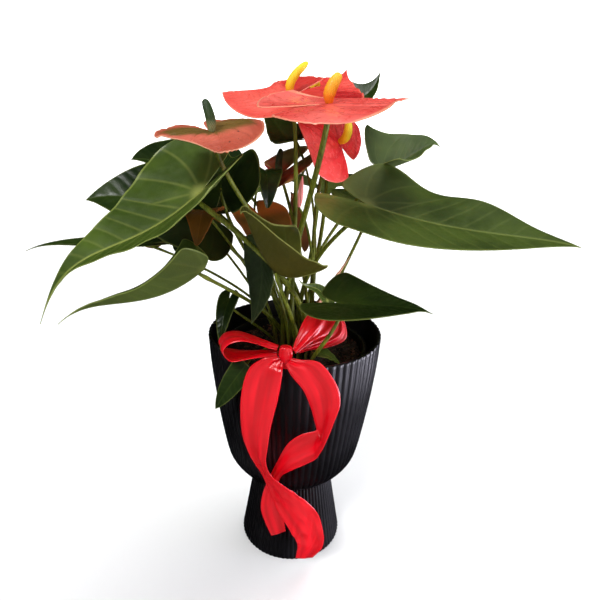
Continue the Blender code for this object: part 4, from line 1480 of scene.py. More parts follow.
LEAVES: list[Blade] = [
    Blade(
        "leaf_left_large", (-0.061, -0.065, 0.323), (-0.16, -0.094, 0.244), 0.103, (0.004, -0.0165),
        lean=(0.03, -0.03), sweep=-0.004, roll=17, fold=(19, 18), lobe=(0.27, 0.31), lift=(8, 1),
        droop=0.019, power=1.5, taper=1.45, stem=0.0019, look=Foliage.OLIVE,
    ),
    Blade(
        "leaf_right_large", (0.047, -0.031, 0.312), (0.184, -0.063, 0.293), 0.1, (0.008, -0.005),
        lean=(-0.025, 0.014), arch=-0.003, sweep=0.005, roll=-17, fold=(6, 9), lobe=(0.17, 0.24),
        wave=(0.0042, 0.0), droop=0.003, power=1.85, taper=1.15, stem=0.0019, look=Foliage.FRESH,
    ),
    Blade(
        "leaf_right_upper", (0.069, 0.044, 0.326), (0.113, 0.049, 0.344), 0.088, (0.003, 0.0015),
        lean=(-0.019, 0.0), arch=-0.002, roll=-24, fold=(16, 31), lobe=(0.19, 0.32), lift=(11, 10),
        droop=0.006, power=1.7, taper=1.2, look=Foliage.MATT,
    ),
    Blade(
        "leaf_left_low", (-0.059, -0.074, 0.276), (-0.15, -0.092, 0.243), 0.059, (-0.006, -0.009),
        lean=(-0.004, 0.012), arch=-0.009, roll=-9, fold=(48, 37), lobe=(0.08, 0.07), lift=(-5, 12),
        droop=0.01, power=1.15, taper=1.5, look=Foliage.OLIVE,
    ),
    Blade(
        "leaf_right_low", (0.03, -0.053, 0.247), (0.096, -0.055, 0.241), 0.086, (0.009, -0.046),
        lean=(0.006, -0.014), arch=0.002, sweep=0.003, roll=-1, fold=(6, 7), lobe=(0.22, 0.39),
        lift=(5, 0), droop=0.002, power=1.5, taper=1.4,
        look=Foliage.DEEP,
    ),
    Blade(
        "leaf_left_upper", (-0.068, -0.007, 0.297), (-0.151, -0.019, 0.308), 0.094, (0.0035, -0.0035),
        lean=(-0.004, 0.0), arch=0.008, sweep=-0.002, roll=31, fold=(4, 21), droop=0.002, power=1.7,
        taper=1.1, look=Foliage.DEEP,
    ),
    Blade(
        "leaf_left_rear", (-0.064, 0.053, 0.309), (-0.128, 0.021, 0.332), 0.095, (-0.0085, -0.0045),
        lean=(0.002, 0.021), arch=-0.002, sweep=0.006, roll=27, fold=(12, 19), droop=0.003, power=1.7,
        taper=1.1,
    ),
    Blade(
        "leaf_left_heart", (-0.054, -0.019, 0.317), (-0.054, 0.011, 0.349), 0.08, (0.002, -0.008),
        lean=(-0.018, 0.0), arch=0.004, roll=15, fold=(12, 24), lobe=(0.45, 0.41), lift=(0, 5),
        droop=-0.011, power=1.7, taper=1.25,
    ),
    Blade(
        "leaf_centre_folded", (-0.012, -0.069, 0.272), (-0.033, -0.092, 0.316), 0.083, (0.003, -0.0215),
        lean=(0.002, -0.019), arch=-0.003, sweep=0.002, roll=18, fold=(27, 39), lobe=(0.12, 0.3),
        lift=(8, 15), droop=0.008, power=1.5, taper=1.35,
        look=Foliage.BROWNED,
    ),
    # This leaf takes the look with painted shade and a painted bluish sheen.
    Blade(
        "leaf_centre_hanging", (-0.026, -0.038, 0.282), (-0.032, -0.043, 0.225), 0.044, (-0.005, -0.0225),
        lean=(0.004, 0.0), arch=-0.004, sweep=-0.002, roll=1, fold=(8, 7), lobe=(0.15, 0.15),
        lift=(14, -11), power=1.75, taper=1.15, stem=0.0012,
        look=Foliage.SHADE_AND_SHEEN,
    ),
    Blade(
        "leaf_bronze_centre", (-0.03, 0.005, 0.296), (-0.018, -0.01, 0.251), 0.058, (0.0005, -0.0125),
        lean=(0.001, -0.03), arch=0.006, roll=6, fold=(6, 11), lobe=(0.24, 0.22), lift=(-4, 0),
        droop=-0.003, stem=0.0012, look=Foliage.BRONZE,
    ),
    Blade(
        "leaf_bronze_left", (-0.078, 0.046, 0.28), (-0.122, 0.008, 0.272), 0.063, (-0.0155, -0.004),
        lean=(0.001, 0.003), arch=0.007, sweep=0.009, roll=8, fold=(10, 19), droop=-0.014, power=1.7,
        taper=1.2, stem=0.0012, look=Foliage.BRONZE,
    ),
    Blade(
        "leaf_left_dark", (-0.07, 0.036, 0.296), (-0.094, 0.01, 0.265), 0.049, (0.0055, -0.0115),
        lean=(0.023, -0.019), arch=0.017, roll=5, fold=(7, 15), droop=-0.014, stem=0.0012,
    ),
    Blade(
        "leaf_left_small", (-0.063, -0.041, 0.307), (-0.066, -0.065, 0.29), 0.028, (-0.014, -0.0125),
        lean=(0.0, 0.015), arch=0.011, sweep=-0.003, roll=-2, fold=(10, 2), lobe=(0.2, 0.2),
        lift=(0, -7), droop=-0.007, stem=0.0011,
        look=Foliage.BRONZE,
    ),
    Blade(
        "leaf_left_far", (-0.11, -0.01, 0.275), (-0.201, -0.018, 0.269), 0.044, (-0.0115, 0.0),
        lean=(0.003, 0.026), fold=(9, 9), droop=0.004, stem=0.0012,
    ),
    Blade(
        "leaf_rear_top", (0.033, 0.106, 0.367), (0.069, 0.107, 0.401), 0.066, (-0.0065, 0.001),
        lean=(-0.027, 0.03), sweep=0.006, roll=-48, fold=(8, 36), lobe=(0.3, 0.3),
        droop=-0.004, power=1.7, taper=1.25,
    ),
    Blade(
        "leaf_under_bloom", (-0.001, 0.048, 0.347), (-0.032, 0.066, 0.364), 0.048, (0.009, -0.0005),
        lean=(0.017, 0.014), arch=-0.007, roll=16, fold=(7, 15), lift=(5, 0), droop=0.01, stem=0.0012,
    ),
    Blade(
        "leaf_centre_dark", (-0.026, 0.024, 0.326), (-0.023, 0.006, 0.301), 0.027, (-0.0025, -0.0055),
        lean=(-0.029, 0.007), arch=0.012, sweep=0.003, roll=14, fold=(11, 21), lobe=(0.2, 0.2),
        droop=-0.007, stem=0.0011,
    ),
    Blade(
        "leaf_rear_narrow", (0.003, 0.033, 0.266), (-0.005, 0.028, 0.301), 0.032, (-0.002, -0.001),
        lean=(-0.005, 0.002), arch=0.002, sweep=0.004, fold=(2, 2), lobe=(0.2, 0.2), lift=(-8, -3),
        droop=0.013, stem=0.0011, look=Foliage.BRONZE,
    ),
    Blade(
        "leaf_rim_left", (-0.049, -0.031, 0.24), (-0.054, -0.049, 0.206), 0.016, (-0.012, -0.0075),
        lean=(-0.014, 0.002), arch=0.005, fold=(11, 11), lobe=(0.2, 0.2), stem=0.0011,
    ),
    Blade(
        "leaf_rim_front", (-0.033, -0.067, 0.2052), (-0.058, -0.058, 0.162), 0.018, (-0.0085, -0.018),
        lean=(-0.002, 0.002), arch=0.003, roll=80, fold=(8, 8), lobe=(0.0, 0.0), power=2.2, taper=0.9,
        stem=0.0011, rise=-0.3,
    ),
    Blade(
        "leaf_rim_right", (0.018, -0.041, 0.2025), (0.0355, -0.043, 0.192), 0.018, (0.0135, -0.006),
        lean=(0.007, 0.007), arch=0.002, fold=(8, 8), lobe=(0.2, 0.2), stem=0.0011, look=Foliage.OLIVE,
    ),
    Blade(
        "leaf_right_small", (0.024, -0.02, 0.236), (0.002, -0.027, 0.255), 0.012, (-0.0015, -0.0195),
        lean=(-0.002, -0.007), sweep=0.005, roll=50, fold=(3, 17), lobe=(0.2, 0.2), droop=-0.004,
        stem=0.0011, look=Foliage.OLIVE,
    ),
    Blade(
        "leaf_rear_left", (-0.043, 0.099, 0.294), (-0.091, 0.169, 0.267), 0.086, (-0.006, 0.006),
        lean=(0.021, -0.005), fold=(12, 12), lobe=(0.3, 0.3), droop=0.011, look=Foliage.OLIVE,
    ),
    Blade(
        "leaf_rear_middle", (0.018, 0.093, 0.305), (0.03, 0.166, 0.272), 0.084, (-0.0005, 0.005),
        lean=(0.008, 0.013), fold=(12, 12), lobe=(0.3, 0.3), droop=0.012,
    ),
    Blade(
        "leaf_rear_right", (0.059, 0.045, 0.297), (0.119, 0.1, 0.291), 0.079, (0.0135, -0.0145),
        lean=(0.0095, 0.018), fold=(12, 12), lobe=(0.3, 0.3), droop=0.01, look=Foliage.FRESH,
    ),
    Blade(
        "leaf_peach_sheath", (0.018, -0.008, 0.226), (0.0405, -0.008, 0.268), 0.009, (0.009, -0.017),
        lean=(0.008, 0.009), fold=(35, 35), lobe=(0.1, 0.1), stem=0.0011, look=Foliage.SHEATH,
    ),
]
BLOOMS: list[Blade] = [
    Blade(
        "front", (0.013, -0.064, 0.376), (0.071, -0.041, 0.38), 0.091, (-0.009, -0.013),
        lean=(-0.007, 0.0055), arch=0.001, roll=-4, fold=(-6, 0), lobe=(0.6, 0.6), lift=(12, -5),
        power=2.2, taper=2.0, stem=0.0022, spadix=(0.023, -0.062, 0.393), spadix_radius=0.0034,
        look=Spathe.CORAL, spadix_look=Spadix.ORANGE,
    ),
    Blade(
        "old", (-0.0545, -0.062, 0.36), (-0.044, -0.098, 0.351), 0.071, (0.007, 0.0045),
        lean=(0.012, 0.012), sweep=-0.005, roll=-7, fold=(3, 11), lobe=(0.42, 0.42), lift=(-8, -3),
        droop=-0.002, power=1.65, taper=1.23, stem=0.0018, spadix=(-0.0565, -0.063, 0.3775),
        look=Spathe.FADED, spadix_look=Spadix.GREEN,
    ),
    Blade(
        "left", (-0.002, 0.009, 0.382), (-0.058, 0.026, 0.381), 0.079, (-0.0035, -0.015),
        lean=(0.0, -0.014), arch=-0.002, sweep=-0.01, roll=23, fold=(2, -3), lobe=(0.35, 0.35),
        droop=0.002, power=1.7, taper=1.2, stem=0.0018, spadix=(0.005, 0.011, 0.402), spadix_radius=0.0029,
        look=Spathe.ROSE, spadix_look=Spadix.YELLOW,
    ),
    Blade(
        "low", (0.033, 0.033, 0.344), (0.0, 0.052, 0.377), 0.091, (0.014, -0.0005),
        lean=(-0.001, -0.005), arch=0.006, sweep=-0.003, roll=5, fold=(-3, -1), lobe=(0.42, 0.28),
        lift=(2, -5), droop=-0.004, power=1.8, taper=1.0, stem=0.0018,
        spadix=(0.036, 0.021, 0.364), spadix_radius=0.0032, look=Spathe.SCARLET, spadix_look=Spadix.YELLOW,
    ),
    Blade(
        "rear", (0.01, 0.051, 0.381), (0.04, 0.113, 0.402), 0.082, (0.003, 0.0085),
        lean=(0.024, 0.016), arch=-0.002, sweep=0.002, roll=-15, fold=(4, 9), lobe=(0.15, 0.4),
        lift=(-14, 2), droop=-0.004, stem=0.0018,
        spadix=(0.007, 0.028, 0.386), look=Spathe.CRIMSON, spadix_look=Spadix.YELLOW,
    ),
    Blade(
        "young", (-0.012, 0.038, 0.323), (-0.032, 0.045, 0.326), 0.042, (0.0105, -0.0105),
        lean=(0.005, 0.0), arch=-0.002, sweep=-0.011, roll=26, fold=(7, 16), lobe=(0.7, 0.72),
        lift=(-3, 3), spadix=(-0.014, 0.039, 0.341),
        spadix_radius=0.0026, look=Spathe.YOUNG, spadix_look=Spadix.GREEN,
    ),
]
BUD = Blade(
    "bud", (0.001, 0.01, 0.301), (0.003, 0.01, 0.324), 0.004, (0.009, -0.0215),
    lean=(0.0145, 0.01), fold=(5, 5), lobe=(0.0, 0.0), stem=0.0012, spadix_radius=0.0023,
)

# The stations of each length of ribbon, from the knot on: a point on either edge, in millimetres.
LEFT_TAIL: list[tuple[Point, Point]] = [
    ((-12, -74.3, 216), (-8, -74.3, 211)), ((-22, -76, 214), (-8, -76, 208)),
    ((-32, -76, 204), (-8, -79, 203)), ((-37, -76, 181), (-11, -76, 182)),
    ((-37, -69, 151), (-16, -79, 159)), ((-32, -65, 130), (-19, -81, 143)),
    ((-27, -63, 116), (-20, -80, 131)), ((-22, -61, 102), (-15, -79, 118)),
    ((-17, -63, 87), (-2, -75, 103)), ((-8, -68, 71), (12, -68, 85)),
    ((1, -67, 52), (23, -65, 67)), ((6, -67, 40), (28, -59, 34)),
    ((5, -62, 20), (20, -50, 9)),
]
RIGHT_TAIL: list[tuple[Point, Point]] = [
    ((-5, -74.3, 209), (-2, -74.3, 214)), ((-4, -76, 206), (5, -76, 214)),
    ((-1, -77, 201), (18, -76, 212)), ((7, -77, 190), (30, -76, 195)),
    ((13, -71, 172), (33, -79, 181)), ((18, -69, 155), (28, -84, 168)),
    ((21, -69, 148), (22, -87, 154)), ((19, -70, 154), (19, -84, 144)),
    ((15, -71, 153), (16, -77, 132)), ((5, -71, 149), (10, -72, 124)),
    ((-4, -69, 139), (0, -69, 116)), ((-11, -66, 122), (-7, -64, 107)),
    ((-17, -60, 103), (-10, -60, 97)), ((-23, -58, 83), (-10, -58, 83)),
    ((-24, -56, 63), (-7, -56, 64)), ((-16, -54, 36), (-4, -54, 42)),
]
LEFT_LOOP: list[tuple[Point, Point]] = [
    ((-11.9, -63, 216), (-11.9, -69, 218)), ((-22, -58, 219), (-21, -74, 222)),
    ((-30, -55, 222), (-29, -77, 225)), ((-39, -54, 224), (-36, -78, 227)),
    ((-48, -54, 222), (-44, -78, 226)), ((-53, -54, 216), (-49, -77, 221)),
    ((-51, -55, 212), (-48, -77, 216)), ((-46, -56, 211), (-43, -77, 212)),
    ((-39, -57, 211), (-37, -77, 212)), ((-30, -58, 212), (-29, -76, 213)),
    ((-22, -60, 213), (-21, -73, 214)), ((-11.9, -63, 213), (-11.9, -69, 213.5)),
]
RIGHT_LOOP: list[tuple[Point, Point]] = [
    ((0, -67, 217.5), (0.5, -66.5, 214)), ((2, -61, 224), (11, -57, 217)),
    ((5, -54, 231), (23, -51, 221)), ((9, -47, 235), (30, -45, 227)),
    ((15, -40, 239), (31, -37, 233)), ((23, -31, 237), (35, -27, 227)),
    ((27, -28, 231), (39, -26, 216)), ((25, -31, 221), (38, -30, 208)),
    ((16, -39, 214), (27, -38, 206)), ((6, -50, 212), (12, -49, 208)),
    ((1, -59, 213), (3, -58, 210)),
]


# ---------------------------------------------------------------------------------------------------------
# The pot
# ---------------------------------------------------------------------------------------------------------


def softened(points: Sequence[Pair], times: int) -> list[Pair]:
    """Rounds the corners of a line, but keeps its two ends.

    Args:
        points: The line's corners.
        times: How often each corner is cut.

    Returns:
        The points of the rounded line.
    """
    line = [np.array(point) for point in points]
    for _ in range(times):
        cut = [line[0]]
        for start, end in zip(line, line[1:]):
            cut += [0.75 * start + 0.25 * end, 0.25 * start + 0.75 * end]
        line = [*cut, line[-1]]
    return [(float(point[0]), float(point[1])) for point in line]


def paced(points: Sequence[Pair], step: float) -> list[Pair]:
    """Spreads points evenly along a line.

    Args:
        points: The line's corners.
        step: How far apart they are at most.

    Returns:
        The points, with both ends.
    """
    line = np.array(points)
    run = np.concatenate([[0], np.cumsum(np.linalg.norm(np.diff(line, axis=0), axis=1))])
    count = max(1, math.ceil(run[-1] / step))
    where = np.linspace(0, run[-1], count + 1)
    return list(zip(np.interp(where, run, line[:, 0]), np.interp(where, run, line[:, 1])))


def lathe(name: str, outline: Sequence[Pair], columns: int, shape: Placer | None = None) -> bpy.types.Mesh:
    """Turns an outline round the Z axis.

    Args:
        name: The mesh's name.
        outline: Radii and heights, from the axis up the outside and back to the axis.
        columns: How many faces go round it.
        shape: Gives how far in each point of the skin is pressed, for angles and row numbers.

    Returns:
        The closed mesh.
    """
    table = np.array(outline, dtype=float)

    def place(u: np.ndarray, v: np.ndarray) -> np.ndarray:
        """Places the turned skin.

        Args:
            u: The places round it, from -1 to 1.
            v: The places along the outline, from 0 to 1.

        Returns:
            The points in space.
        """
        row = np.rint(v * (len(table) - 1)).astype(int)
        turn = math.pi * u
        radius = table[row, 0]
        if shape is not None:
            radius = radius - shape(turn, row)
        return np.column_stack([radius * np.cos(turn), radius * np.sin(turn), table[row, 1]])

    return closed(lay(name, columns, len(table) - 1, place))


@dataclass(frozen=True)
class FlutedPot:
    """A goblet pot of two fluted mouldings: the bowl and the foot that its spigot plugs into.

    rim, foot and spigot are radii. neck is the radius of the bowl's bottom, floor is how high the bowl's
    inside starts, gap is the clearance of the spigot, and columns is how many faces go across a flute.
    """

    flutes: int = 70
    flute_depth: float = 0.0010
    columns: int = 8
    height: float = 0.203
    rim: float = 0.0700
    bowl_bottom: float = 0.0705
    neck: float = 0.0345
    floor: float = 0.0760
    foot: float = 0.0449
    spigot: float = 0.0298
    spigot_length: float = 0.0045
    gap: float = 0.0003
    plastic: MouldedFinish = MouldedFinish("charcoal_plastic", paint(11, 10, 12), paint(22, 21, 25), 0.40)

    def ribs(self, fade: np.ndarray) -> Placer:
        """Makes the flutes' shape.

        Args:
            fade: How deep the flutes are in each row, from 0 to 1.

        Returns:
            A function that gives how far in the skin is pressed, for arrays of angles and row numbers.
        """

        def press(turn: np.ndarray, row: np.ndarray) -> np.ndarray:
            """Gives rounded ribs with narrow grooves between them."""
            wave = np.abs(np.cos(self.flutes * turn / 2))
            return self.flute_depth * (1 - wave ** 0.8) * fade[row]

        return press

    def moulding(
        self, name: str, node: str, parts: Sequence[Sequence[Pair]], fades: Sequence[Any], library: Library
    ) -> None:
        """Builds and dresses one moulding.

        Args:
            name: The piece's name.
            node: The solid that it stands for.
            parts: The stretches of its outline, in order.
            fades: How deep the flutes are on each stretch: one number, or one for each row.
            library: The finishes.
        """
        rows = [point for part in parts for point in part]
        fade = np.concatenate([np.zeros(len(part)) + depth for part, depth in zip(parts, fades)])
        mesh = lathe(name, rows, self.flutes * self.columns, self.ribs(fade))
        piece(name, mesh, [library.plain(self.plastic)], "pot", node)

    def build(self, library: Library) -> None:
        """Builds and dresses the bowl and the foot.

        Args:
            library: The finishes.
        """
        end = self.bowl_bottom - self.spigot_length
        plug = [*paced([(0.0, end), (self.spigot, end)], 0.02), (self.spigot, self.bowl_bottom)]
        wall = paced(softened([
            (self.neck, self.bowl_bottom), (0.0400, 0.0728), (0.0464, 0.0780), (0.0532, 0.0870),
            (0.0573, 0.0960), (0.0640, 0.1380), (0.0683, 0.1740), (0.0697, 0.1985),
            (self.rim, self.height - 0.0007),
        ], 3), 0.0024)
        lip = [(self.rim - 0.0003, self.height - 0.0002), (self.rim - 0.0009, self.height),
               (0.0676, self.height), (0.0671, self.height - 0.0006)]
        inside = paced([
            (0.0664, 0.1985), (0.0650, 0.1740), (0.0606, 0.1380), (0.0566, 0.1100), (0.0538, 0.0970),
            (0.0493, 0.0880), (0.0430, 0.0800), (0.0385, self.floor),
        ], 0.008)
        growing = np.clip((np.arange(len(wall)) - 0.5) / 3, 0, 1)
        self.moulding(
            "fluted_bowl", "pot_bowl", [plug, wall, lip, [*inside, (0.0, self.floor)]],
            [0.0, growing, (1.0, 1.0, 0.25, 0.0), 0.0], library,
        )
        socket = self.spigot + self.gap
        top = self.bowl_bottom - self.gap
        hollow = [(0.0, 0.0028), *paced([(0.0415, 0.0028), (socket, 0.0640)], 0.01), (socket, top),
                  (0.0331, top)]
        side = paced(softened([(0.0336, 0.0690), (0.0392, 0.0350), (self.foot, 0.0016)], 1), 0.0022)
        under = [(self.foot - 0.0004, 0.0004), (self.foot - 0.0012, 0.0), (0.0, 0.0)]
        self.moulding("fluted_foot", "pot_foot", [hollow, side, under], [0.0, 1.0, (1.0, 0.0, 0.0)], library)


@dataclass(frozen=True)
class PottingMix:
    """The grow pot inside the bowl, and the loose mix that fills it.

    The pairs are radii and heights: the pot's outside and inside at its foot and just below its lip.
    edge is how much lower the mix is at the pot's wall. rough is the height of its lumps and how many there
    are in a metre, from coarse to fine, with a seed for each.
    """

    top: float = SOIL_TOP
    radius: float = 0.0549
    edge: float = 0.002
    chips: int = 620
    chip_sizes: Pair = (0.0012, 0.0038)
    pot_top: float = 0.191
    lip: float = 0.003
    rough: tuple[Point, ...] = ((0.0022, 70.0, 0.0), (0.0014, 240.0, 4.0), (0.0006, 700.0, 9.0))
    plastic: MouldedFinish = MouldedFinish("black_plastic", paint(6, 6, 6), paint(12, 12, 12), 0.6)
    mix: MixFinish = MixFinish("potting_mix", paint(11, 7, 5), paint(34, 20, 12), paint(80, 52, 34))
    bark: MixFinish = MixFinish("bark_chips", paint(30, 16, 9), paint(66, 36, 20), paint(112, 72, 46))

    def build(self, library: Library) -> None:
        """Builds and dresses the grow pot and the mix.

        Args:
            library: The finishes.
        """
        low, high = self.pot_top - self.lip, self.pot_top - 0.0004
        wall = [
            (0.0, 0.0763), *paced([(0.0380, 0.0763), (0.0572, low)], 0.006), (0.0588, low), (0.0588, high),
            (0.0584, self.pot_top), (0.0562, self.pot_top), (0.0558, high),
            *paced([(0.0558, low), (0.0366, 0.0778)], 0.006), (0.0, 0.0778),
        ]
        mesh = lathe("grow", wall, 128)
        piece("grow_pot_wall", mesh, [library.plain(self.plastic)], "grow_pot", "grow_pot")
        piece(
            "mix_and_chips", joined("mix", [(self.ground(), 0), (self.scatter(), 1)]),
            [library.plain(self.mix), library.plain(self.bark)], "soil", "soil",
        )

    def ground(self) -> bpy.types.Mesh:
        """Makes the mix, with a lumpy top.

        Returns:
            The closed mesh.
        """
        corner = (self.radius, self.top - self.edge)
        cover = paced([corner, (0.0, self.top)], 0.0009)
        body = [(0.0, 0.0781), *paced([(0.0362, 0.0781), corner], 0.01)]
        ground = lathe("mix", [*body, *cover[1:]], 260)
        flat = np.empty(len(ground.vertices) * 3)
        ground.vertices.foreach_get("co", flat)
        points = flat.reshape(-1, 3)
        lumps = np.zeros(len(points))
        reach = np.hypot(points[:, 0], points[:, 1])
        inner = (points[:, 2] > self.top - self.edge - 0.0005) & (reach < self.radius - 0.0005)
        for height, scale, seed in self.rough:
            lumps[inner] += height * soft_noise(points[inner], scale, seed)
        points[:, 2] += lumps
        ground.vertices.foreach_set("co", points.astype(np.float32).ravel())
        return ground

    def scatter(self) -> bpy.types.Mesh:
        """Scatters bits of bark over the mix.

        Returns:
            One mesh of all the bits.
        """
        lump, scale, _ = self.rough[0]
        dice = random.Random(11)
        # The three parts of a dent are read from places far apart in the same noise.
        shifts = [Vector((9.3 * part, 5.7 * part, 7.1 * part)) for part in range(3)]
        whole = bmesh.new()
        for _ in range(self.chips):
            reach = (self.radius - 0.003) * math.sqrt(dice.random())
            turn = dice.uniform(0, 2 * math.pi)
            size = dice.uniform(*self.chip_sizes)
            place = Vector((reach * math.cos(turn), reach * math.sin(turn), self.top + 0.0006))
            place.z += lump * noise.noise(Vector((place.x, place.y, self.top)) * scale)
            made = bmesh.ops.create_icosphere(whole, subdivisions=1, radius=0.5)
            wide, thick = dice.uniform(0.4, 0.8), dice.uniform(0.25, 0.5)
            shape = Matrix.Diagonal((size, size * wide, size * thick, 1.0))
            spin = Matrix.Rotation(dice.uniform(0, 6.3), 4, "Z")
            tilt = Matrix.Rotation(dice.uniform(-0.7, 0.7), 4, "X")
            matrix = Matrix.Translation(place) @ (spin @ tilt) @ shape
            bmesh.ops.transform(whole, matrix=matrix, verts=made["verts"])
            for vertex in made["verts"]:
                spot = vertex.co * 900.0
                dent = Vector([noise.noise(spot + shift) for shift in shifts])
                vertex.co += 0.12 * size * dent
        mesh = bpy.data.meshes.new("chips")
        whole.to_mesh(mesh)
        whole.free()
        return mesh


# ---------------------------------------------------------------------------------------------------------
# The bow
# ---------------------------------------------------------------------------------------------------------


@dataclass(frozen=True)
class Band:
    """A length of ribbon between the two edges that its stations give.

    flat is its length when flat. gathers is how much of its spare width stands up in pleats, even is how
    much of them is left away from the knot, and both tells whether both of its ends are in the knot. creases
    is the height of the creases across it, and creased is the stretch that has them.
    """

    name: str
    stations: Sequence[tuple[Point, Point]]
    flat: float
    gathers: float = 0.95
    even: float = 0.0
    both: bool = False
    creases: float = 0.0
    creased: Pair = (0.0, 0.0)

    def build(
        self, library: Library, rests_on: list[str], others: list[bpy.types.Object]
    ) -> bpy.types.Object:
        """Builds and dresses the ribbon.

        Args:
            library: The finishes.
            rests_on: What holds it up. Not used.
            others: Pieces that belong to the same cloth. Not used.

        Returns:
            The piece.
        """
        left = [station[0] for station in self.stations]
        right = [station[1] for station in self.stations]

        def middle(u: np.ndarray, v: np.ndarray) -> np.ndarray:
            """Places the smooth band."""
            share = ((u + 1) / 2)[:, None]
            return 0.001 * ((1 - share) * through(left, v) + share * through(right, v))

        def place(u: np.ndarray, v: np.ndarray) -> np.ndarray:
            """Places the band with its gathers and creases.

            Args:
                u: The places across, from -1 to 1.
                v: The places along, from 0 at the knot to 1.

            Returns:
                The points in space.
            """
            across = middle(np.minimum(u + 0.02, 1), v) - middle(np.maximum(u - 0.02, -1), v)
            low, high = np.maximum(v - 0.004, 0), np.minimum(v + 0.004, 1)
            out = np.cross(across, middle(u, high) - middle(u, low))
            out /= np.maximum(np.linalg.norm(out, axis=1, keepdims=True), 1e-12)
            wide = np.linalg.norm(middle(np.ones_like(u), v) - middle(-np.ones_like(u), v), axis=1)
            spare = np.sqrt(np.clip(RIBBON_WIDTH / np.maximum(wide, 0.004) - 1, 0, 4))
            pleat = np.sin(3 * math.pi * u + 2.0 * np.sin(2.5 * v)) + 0.25 * np.sin(17.0 * u + 1.0)
            near = np.exp(-v / 0.11) + (np.exp(-(1 - v) / 0.11) if self.both else 0.0)
            height = self.gathers * wide / (3 * math.pi) * spare * pleat * np.clip(near + self.even, 0, 1)
            start, end = self.creased
            inside = np.clip((v - start) / 0.03, 0, 1) * np.clip((end - v) / 0.03, 0, 1)
            slant = np.sin(95.0 * v + 4.0 * u + 2.0 * np.sin(6.0 * u + 20.0 * v))
            height = height + self.creases * inside * slant * (0.6 + 0.4 * np.sin(31.0 * v))
            drape = 0.0008 * (np.sin(4.2 * u + 5.0 * v + 0.6) + np.sin(15.0 * v + 1.5 * u))
            drape = drape * np.clip((1 - v) / 0.2, 0.15, 1)
            height = height + drape - 0.0005 * (1 - u ** 2)
            return middle(u, v) + out * height[:, None]

        def chart(u: np.ndarray, v: np.ndarray) -> np.ndarray:
            """Lays the band flat, in centimetres."""
            return np.column_stack([(u + 1) / 2 * RIBBON_WIDTH * 100, v * self.flat * 100])

        def margin(u: np.ndarray, v: np.ndarray) -> np.ndarray:
            """Measures from the woven edge, in millimetres."""
            return (1 - np.abs(u)) * 500 * RIBBON_WIDTH + 0 * v

        mesh = thicken(lay(self.name, *RIBBON_FACES, place, chart, margin), RIBBON_THICKNESS)
        area = sum(face.area for face in mesh.polygons) / 2
        satin = library.plain(SatinFinish())
        made = piece(f"{self.name}_satin", mesh, [satin, satin], "ribbon", self.name)
        LOG.info("%s: %.1f cm2, %.0f mm of ribbon", self.name, area * 1e4, 1000 * area / RIBBON_WIDTH)
        return made


@dataclass(frozen=True)
class Bow:
    """The bow over the rim: a knot, two loops and two tails. size and middle are the knot's."""

    size: Point = (0.011, 0.009, 0.0175)
    middle: Point = (-0.0060, -0.0690, 0.21205)

    def build(self, library: Library) -> None:
        """Builds and dresses the bow.

        Args:
            library: The finishes.
        """
        knot = self.knot(library)
        bands = [
            Band("ribbon_left_tail", LEFT_TAIL, 0.217, creases=0.0007, creased=(0.66, 0.98)),
            Band("ribbon_right_tail", RIGHT_TAIL, 0.202),
            Band("ribbon_left_loop", LEFT_LOOP, 0.087, both=True),
            Band("ribbon_right_loop", RIGHT_LOOP, 0.106, even=0.5, both=True),
        ]
        for band in bands:
            held = ["ribbon_knot_wrap"]
            band.build(library, held, [knot] if band.name == "ribbon_left_tail" else [])

    def knot(self, library: Library) -> bpy.types.Object:
        """Builds the gathered middle.

        Args:
            library: The finishes.

        Returns:
            The knot's piece.
        """
        wide, deep, tall = self.size

        def place(u: np.ndarray, v: np.ndarray) -> np.ndarray:
            """Places ribbon wound round the middle, with pleats across it.

            Args:
                u: The places round it, from -1 to 1.
                v: The places up it, from 0 to 1.

            Returns:
                The points in space.
            """
            turn = math.pi * u
            rise = np.sin(math.pi * (v - 0.5))
            full = np.cos(math.pi * (v - 0.5)) ** 0.45
            full = full * np.interp(v, [0.0, 0.35, 0.6, 1.0], [0.55, 0.64, 1.0, 1.0])
            pleat = 1 - 0.07 * (1 + np.sin(6 * turn + 2.5 * v)) * full
            x = 0.5 * wide * np.sign(np.cos(turn)) * np.abs(np.cos(turn)) ** 0.8 * full * pleat
            y = 0.5 * deep * np.sign(np.sin(turn)) * np.abs(np.sin(turn)) ** 0.8 * full * pleat
            return np.column_stack([x, y, 0.5 * tall * rise]) + np.array(self.middle)

        def chart(u: np.ndarray, v: np.ndarray) -> np.ndarray:
            """Lays the wrap flat, in centimetres."""
            return np.column_stack([v * 2.5, (u + 1) * 1.5])

        mesh = closed(lay("knot", 96, 60, place, chart))
        return piece("ribbon_knot_wrap", mesh, [library.plain(SatinFinish())], "ribbon", "ribbon_knot")


# ---------------------------------------------------------------------------------------------------------
# The studio
# ---------------------------------------------------------------------------------------------------------


class LampKind(Enum):
    """The kinds of light: a soft square panel, or a broad even one from far away."""

    PANEL = "AREA"
    FAR = "SUN"


@dataclass(frozen=True)
class Lamp:
    """A soft light that faces a point. Its size is a panel's side, or a far light's angle in degrees."""

    name: str
    kind: LampKind
    place: Point
    aim: Point
    size: float
    power: float
    colour: Colour = (1.0, 1.0, 1.0)
    shines: bool = True

    def build(self) -> None:
        """Adds the light."""
        data = bpy.data.lights.new(self.name, self.kind.value)
        if self.kind is LampKind.PANEL:
            data.size = self.size
        else:
            data.angle = math.radians(self.size)
        data.energy = self.power
        data.color = self.colour
        lamp = bpy.data.objects.new(self.name, data)
        lamp.location = self.place
        lamp.visible_glossy = self.shines
        lamp.rotation_euler = (Vector(self.aim) - Vector(self.place)).to_track_quat("-Z", "Y").to_euler()
        bpy.context.scene.collection.objects.link(lamp)


